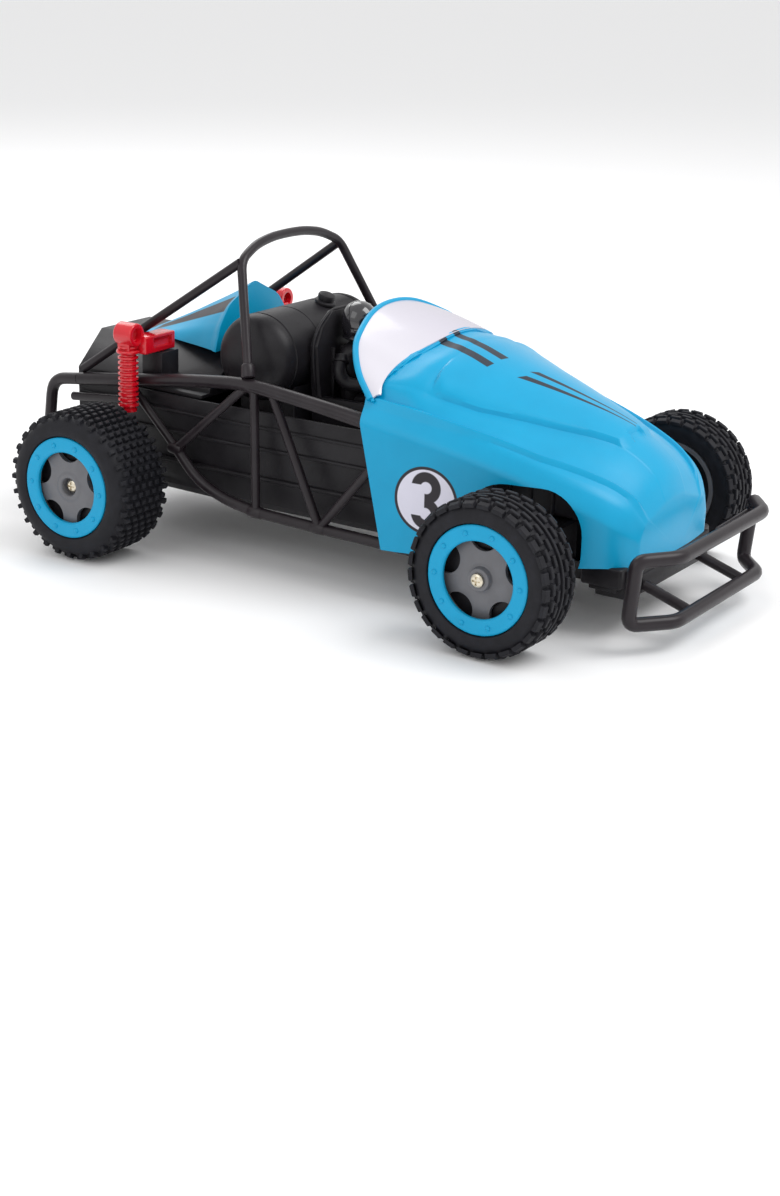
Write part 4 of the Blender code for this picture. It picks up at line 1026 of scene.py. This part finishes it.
def make_barrel():
    """The drum behind the seat and its filler cap."""
    half = [(0, 47.5), (8, 47.2), (14, 46.2), (18.4, 44.4), (20.8, 42.2), (21.9, 39.6), (22.3, 38.0), (22.3, 36.2),
            (21.8, 35.8), (21.8, 35.0), (22.3, 34.6), (22.3, 13.5), (22.0, 13.2), (22.0, 12.4), (22.3, 12.1)]
    barrel = turned("barrel", half + [(r, -h) for r, h in reversed(half)], at(0, BARREL_Y, BARREL_Z),
                    (1, 0, 0), 72)
    fitted(smooth(barrel, 28), "car", "black_plastic", "fuel_barrel")
    lean = math.radians(17)
    direction = Vector((0, -math.sin(lean), math.cos(lean)))
    foot = at(12.0, BARREL_Y, BARREL_Z) + direction * (BARREL_RADIUS * MM)
    outline = [(0, 5.5), (3.4, 5.5), (4.3, 5.1), (4.6, 4.4), (4.6, 2.9), (4.2, 2.7), (4.2, 2.1), (5.3, 1.7),
               (5.6, 1.3), (5.6, 0.3), (0, 0.3)]
    cap = turned("cap", outline, foot, direction, 40)
    fitted(smooth(cap, 30), "car", "black_plastic", "barrel_cap")


def make_seat():
    seat = refined("driver_seat", 1.6, 30)
    edge = [(20.2, -92.5, 80), (23.6, -92.2, 92), (24.6, -91.6, 109), (19.6, -91.2, 118.4), (9.6, -91.0, 125.4),
            (0, -91.0, 126.2)]
    piping = tube("piping", flowing(across(edge), 40), 0.85, 0.5, False, 3)
    ribs = [block("rib", (x - 0.6, -96.4, 80), (x + 0.6, -93.4, 108), 0.4) for x in (-12, -4, 4, 12)]
    fitted(smooth(joined("seat", seat, piping, *ribs), 36), "car", "black_plastic", "driver_seat")


def make_driver():
    ovals = [(76.5, 12, 7, -104), (82, 12.0, 7.2, -103.8), (88, 12.5, 7.5, -103.5), (94, 13.8, 7.6, -103.2),
             (100, 14.5, 7.5, -103), (104.5, 14.2, 7.0, -102.9), (107, 13.0, 6.4, -102.8), (109, 9.5, 5.4, -102.8),
             (110.4, 6, 4.5, -102.8)]
    rings = [[(a * math.cos(i * math.tau / 32), y + b * math.sin(i * math.tau / 32), z) for i in range(32)]
             for z, a, b, y in [tuple(p) for p in flowing_lists(ovals, 25)]]
    torso = skin("driver", rings, closed=True, caps=True)
    limbs = []
    for side in (RIGHT, LEFT):
        limbs.append(tube("arm", flowing(sided(side, [(12.5, -101.5, 104.5), (17.4, -103.0, 97.5),
                                                      (16.4, -107.5, 91.8), (12.0, -117.0, 91.2),
                                                      (7.9, -125.0, 92.3)]), 24), 3.5, 1))
        limbs.append(turned("cuff", eased([(0, -1.4), (3.9, -1.4), (4.0, 1.4), (0, 1.4)], 0.5, 2),
                            at(side * 9.4, -121.9, 91.9), (-side * 0.48, -0.87, 0.1), 24))
        limbs.append(turned("seam", eased([(0, -0.7), (4.2, -0.7), (4.3, 0.7), (0, 0.7)], 0.3, 2),
                            at(side * 14.6, -101.8, 101.6), (side * 0.6, -0.2, -0.8), 24))
        limbs.append(tube("leg", flowing(sided(side, [(6.5, -106, 80.5), (7.0, -118, 84.0), (7.5, -127, 84.6),
                                                      (7.6, -134, 80.0), (7.5, -140, 72.5)]), 24), 4.0, 1))
        limbs.append(ball("glove", 3.9, (0.95, 1.1, 0.9), 20, 12, at(side * 7.6, -126.6, 92.6)))
    fitted(smooth(joined("driver", torso, *limbs), 50), "car", "black_plastic", "driver_body")


def make_helmet():
    """A closed helmet: a lacquered shell, a visor over the front and a ring at the neck."""
    profile = [(0, 131.2), (3.0, 130.9), (5.6, 129.6), (7.7, 127.3), (8.8, 124.6), (9.2, 121.6), (9.1, 118.2),
               (8.4, 115.2), (7.6, 113.4), (7.6, 112.6), (7.0, 111.6), (5.6, 111.0), (0, 111.0)]
    helmet = turned("helmet", profile, at(0, HELMET_Y, 0), (0, 0, 1), 64)
    visor = skin("visor", [[(r * math.sin(a), HELMET_Y - r * math.cos(a), z) for a in
                            [math.radians(-72 + 6 * i) for i in range(25)]]
                           for z, r in ((117.0, 9.35), (117.6, 9.6), (120.0, 9.72), (122.6, 9.62), (124.4, 9.3),
                                        (124.9, 9.0))])
    worked(visor, 'SOLIDIFY', thickness=0.5 * MM, offset=0)
    ring = turned("chin_ring", eased([(7.2, 112.2), (8.6, 112.4), (8.7, 113.4), (7.4, 113.8)], 0.3, 2, True),
                  at(0, HELMET_Y, 0), (0, 0, 1), 64)
    fitted(smooth(joined("helmet", helmet, visor, ring), 40), "car", "helmet_gloss", "driver_helmet")


def make_cockpit_wheel():
    axis = Vector((0, 2.2, 1.1)).normalized()
    centre = at(0, -131.3, 94.05)
    hoop = turned("wheel_rim", [(8.4 + 1.1 * math.cos(i * math.tau / 12), 1.1 * math.sin(i * math.tau / 12))
                                for i in range(12)], centre, axis, 48)
    boss = turned("wheel_boss", eased([(0, -1.2), (2.6, -1.2), (2.6, 1.0), (0, 1.4)], 0.4, 2), centre, axis, 32)
    spokes = []
    sideways, upward = Vector((1, 0, 0)), axis.cross(Vector((1, 0, 0)))
    for angle in (90, 210, 330):
        a = math.radians(angle)
        tip = centre + (sideways * math.cos(a) + upward * math.sin(a)) * (8.0 * MM)
        end = tip / MM - Vector((0, REAR_AXLE_TO_MIDDLE, 0))
        start = centre / MM - Vector((0, REAR_AXLE_TO_MIDDLE, 0))
        spokes.append(tube("spoke", [start, end], 0.75, 1, False, 3))
    column = tube("column", [(0, -131.5, 94.0), (0, -157, 82.0)], 1.8)
    fitted(smooth(joined("steering_rim", hoop, boss, column, *spokes), 40), "car", "black_plastic", "cockpit_wheel")


def make_dashboard():
    dash = refined("dashboard", 0.6)
    dials = [turned("dial", eased([(0, 0.9), (3.0, 0.9), (3.1, 1.6), (4.0, 1.6), (4.2, 0), (0, 0)], 0.2, 2),
                    at(x, -158.6, 84), (0, 1, 0), 32) for x in (-22, -12, 12, 22)]
    fitted(smooth(joined("dash", dash, *dials), 36), "car", "black_plastic", "dashboard")
    kept("cockpit_floor", "car", "black_plastic", 0.5)


# ---------------------------------------------------------------- tub and inside
def make_tub():
    parts = [refined("chassis_tub", 0.8)]
    for side in (RIGHT, LEFT):
        for z, out, half in ((61.0, 54.5, 0.7), (44.5, 51.7, 0.9), (72.0, 55.2, 0.6)):
            path = sided(side, [(out * 0.88 + 0.1, 42.5, z), (out + 0.1, -45.0, z), (out + 0.1, -156.0, z)])
            parts.append(tube("ledge", path, half + 0.3, 4, False, 3))
    fitted(smooth(joined("tub", *parts), 34), "car", "black_plastic", "chassis_tub")


def small_screw(name, x, y, z):
    screw = turned(name, [(0, z - 0.9), (1.5, z - 0.9), (2.1, z - 0.3), (2.2, z + 0.4), (0, z + 0.4)],
                   at(x, y, 0), (0, 0, 1), 24)
    return carved(screw, block("slot_a", (x - 1.3, y - 0.3, z - 2), (x + 1.3, y + 0.3, z - 0.45)),
                  block("slot_b", (x - 0.3, y - 1.3, z - 2), (x + 0.3, y + 1.3, z - 0.45)))


def make_nose_inside():
    """The dark well over the steering gear and the skirt under the nose."""
    well = block("well", (-38, -264, 50.5), (38, -206, 66), 2.5, 3)
    ribs = [block("well_rib", (-38.8, y - 1, 51), (38.8, y + 1, 65), 0.6) for y in (-252, -240, -228, -216)]
    fitted(smooth(joined("wheel_well", well, *ribs), 36), "car", "black_plastic")
    skirt = block("skirt", (-49, -283.5, 24.5), (49, -262, 34.6), 1.5, 3)
    feet = [block("skirt_foot", (side * 44 - 4, -281, 22.5), (side * 44 + 4, -266, 26), 1.0)
            for side in (RIGHT, LEFT)]
    fitted(smooth(joined("nose_skirt", skirt, *feet), 36), "car", "black_plastic")


def make_underside():
    for node, width in (("gearbox_sump", 0.5), ("gearbox_case", 0.6), ("nose_tray", 0.7), ("front_beam", 0.5),
                        ("steering_servo", 0.3), ("tie_rod", 0.3)):
        body = "tie_rod" if node == "tie_rod" else "car"
        kept(node, body, "black_plastic", width)
    for side in (RIGHT, LEFT):
        tag = SIDE_NAME[side]
        kept("steering_knuckle_" + tag, "knuckle_" + tag, "black_plastic", 0.35)
    kept("servo_arm", "servo_arm", "white_nylon", 0.25)
    door = refined("battery_door", 0.4)
    bars = [block("bar", (-20, y - 0.6, 26.7), (20, y + 0.6, 27.4), 0.25) for y in (-112, -105, -98, -91, -84)]
    fitted(smooth(joined("door", door, *bars), 36), "battery_door", "black_plastic", "battery_door")
    kept("battery_door_screw", "battery_door", "screw_steel", 0.3)
    kept("power_switch", "power_switch", "black_plastic", 0.3)
    screws = [small_screw("sump_screw", x, y, 21.9) for x in (-25, 25) for y in (-41, 25)]
    screws += [small_screw("tray_screw", x, y, 20.4) for x in (-25, 25) for y in (-168, -225)]
    fitted(smooth(joined("underside_screws", *screws), 30), "car", "screw_steel")
    cells = [turned("cell", eased([(0, -24.6), (7.3, -24.6), (7.3, 24.0), (2.6, 24.0), (2.6, 24.8), (0, 24.8)],
                                  0.6, 2), at(x, -93, 37.9), (0, 1, 0), 40) for x in (-15.4, 0, 15.4)]
    fitted(smooth(joined("cells", *cells), 40), "car", "battery_wrap", "battery_pack")
    board = refined("circuit_board", 0.1)
    chips = [block("chip", (x - w, y - d, 33.4), (x + w, y + d, 35.2), 0.2) for x, y, w, d in
             ((-10, -138, 5, 4), (6, -140, 3, 3), (14, -132, 3.5, 2), (-16, -130, 2, 1.5))]
    fitted(smooth(board, 30), "car", "board_green", "circuit_board")
    fitted(smooth(joined("chips", *chips), 30), "car", "black_plastic")
    for node in ("rear_axle", "drive_motor", "axle_gear", "motor_pinion"):
        smooth(frame["nodes"][node], 35)


make_wheels()
make_frame()
make_hood()
make_screen()
make_rear()
make_barrel()
make_seat()
make_driver()
make_helmet()
make_cockpit_wheel()
make_dashboard()
make_tub()
make_nose_inside()
make_underside()


# ---------------------------------------------------------------- studio
def make_studio():
    deselect()
    bpy.ops.mesh.primitive_plane_add(size=60, location=(0, 0, -0.0002))
    floor = named("studio_floor")
    paint = Finish("floor_paper", (0.93, 0.93, 0.935), 0.75, specular=0.2)
    paint.to("Roughness", 0.72 + paint.noise(60, 2.0) * 0.06)
    floor.data.materials.append(paint.material)
    world = bpy.context.scene.world or bpy.data.worlds.new("studio")
    bpy.context.scene.world = world
    world.use_nodes = True
    sky = world.node_tree.nodes["Background"]
    sky.inputs["Color"].default_value = (1, 1, 1, 1)
    sky.inputs["Strength"].default_value = 0.86
    bpy.context.scene.view_settings.view_transform = 'Standard'
    for name, place, size, power in (("key", (0.25, -0.9, 1.3), 0.9, 12), ("fill", (-1.4, 0.3, 0.9), 1.0, 3),
                                     ("back", (0.7, 1.0, 1.2), 1.0, 7)):
        deselect()
        bpy.ops.object.light_add(type='AREA', location=place)
        lamp = bpy.context.object
        lamp.name = name
        lamp.data.size, lamp.data.energy = size, power
        lamp.rotation_mode = 'QUATERNION'
        lamp.rotation_quaternion = (Vector((0, -0.03, 0.06)) - Vector(place)).to_track_quat('-Z', 'Y')


def make_camera():
    turn, tilt, roll = math.radians(-57.87), math.radians(18.60), math.radians(1.70)
    back = Vector((math.sin(turn) * math.cos(tilt), -math.cos(turn) * math.cos(tilt), math.sin(tilt)))
    right = Vector((math.cos(turn), math.sin(turn), 0))
    up = back.cross(right)
    wide, high = right * math.cos(roll) + up * math.sin(roll), up * math.cos(roll) - right * math.sin(roll)
    deselect()
    bpy.ops.object.camera_add()
    camera = bpy.context.object
    camera.matrix_world = Matrix.Translation((-0.9004, -0.56703, 0.3338)) @ Matrix(
        (wide, high, back)).transposed().to_4x4()
    camera.data.lens = 63.91
    camera.data.sensor_width = 36
    bpy.context.scene.camera = camera


make_studio()
make_camera()
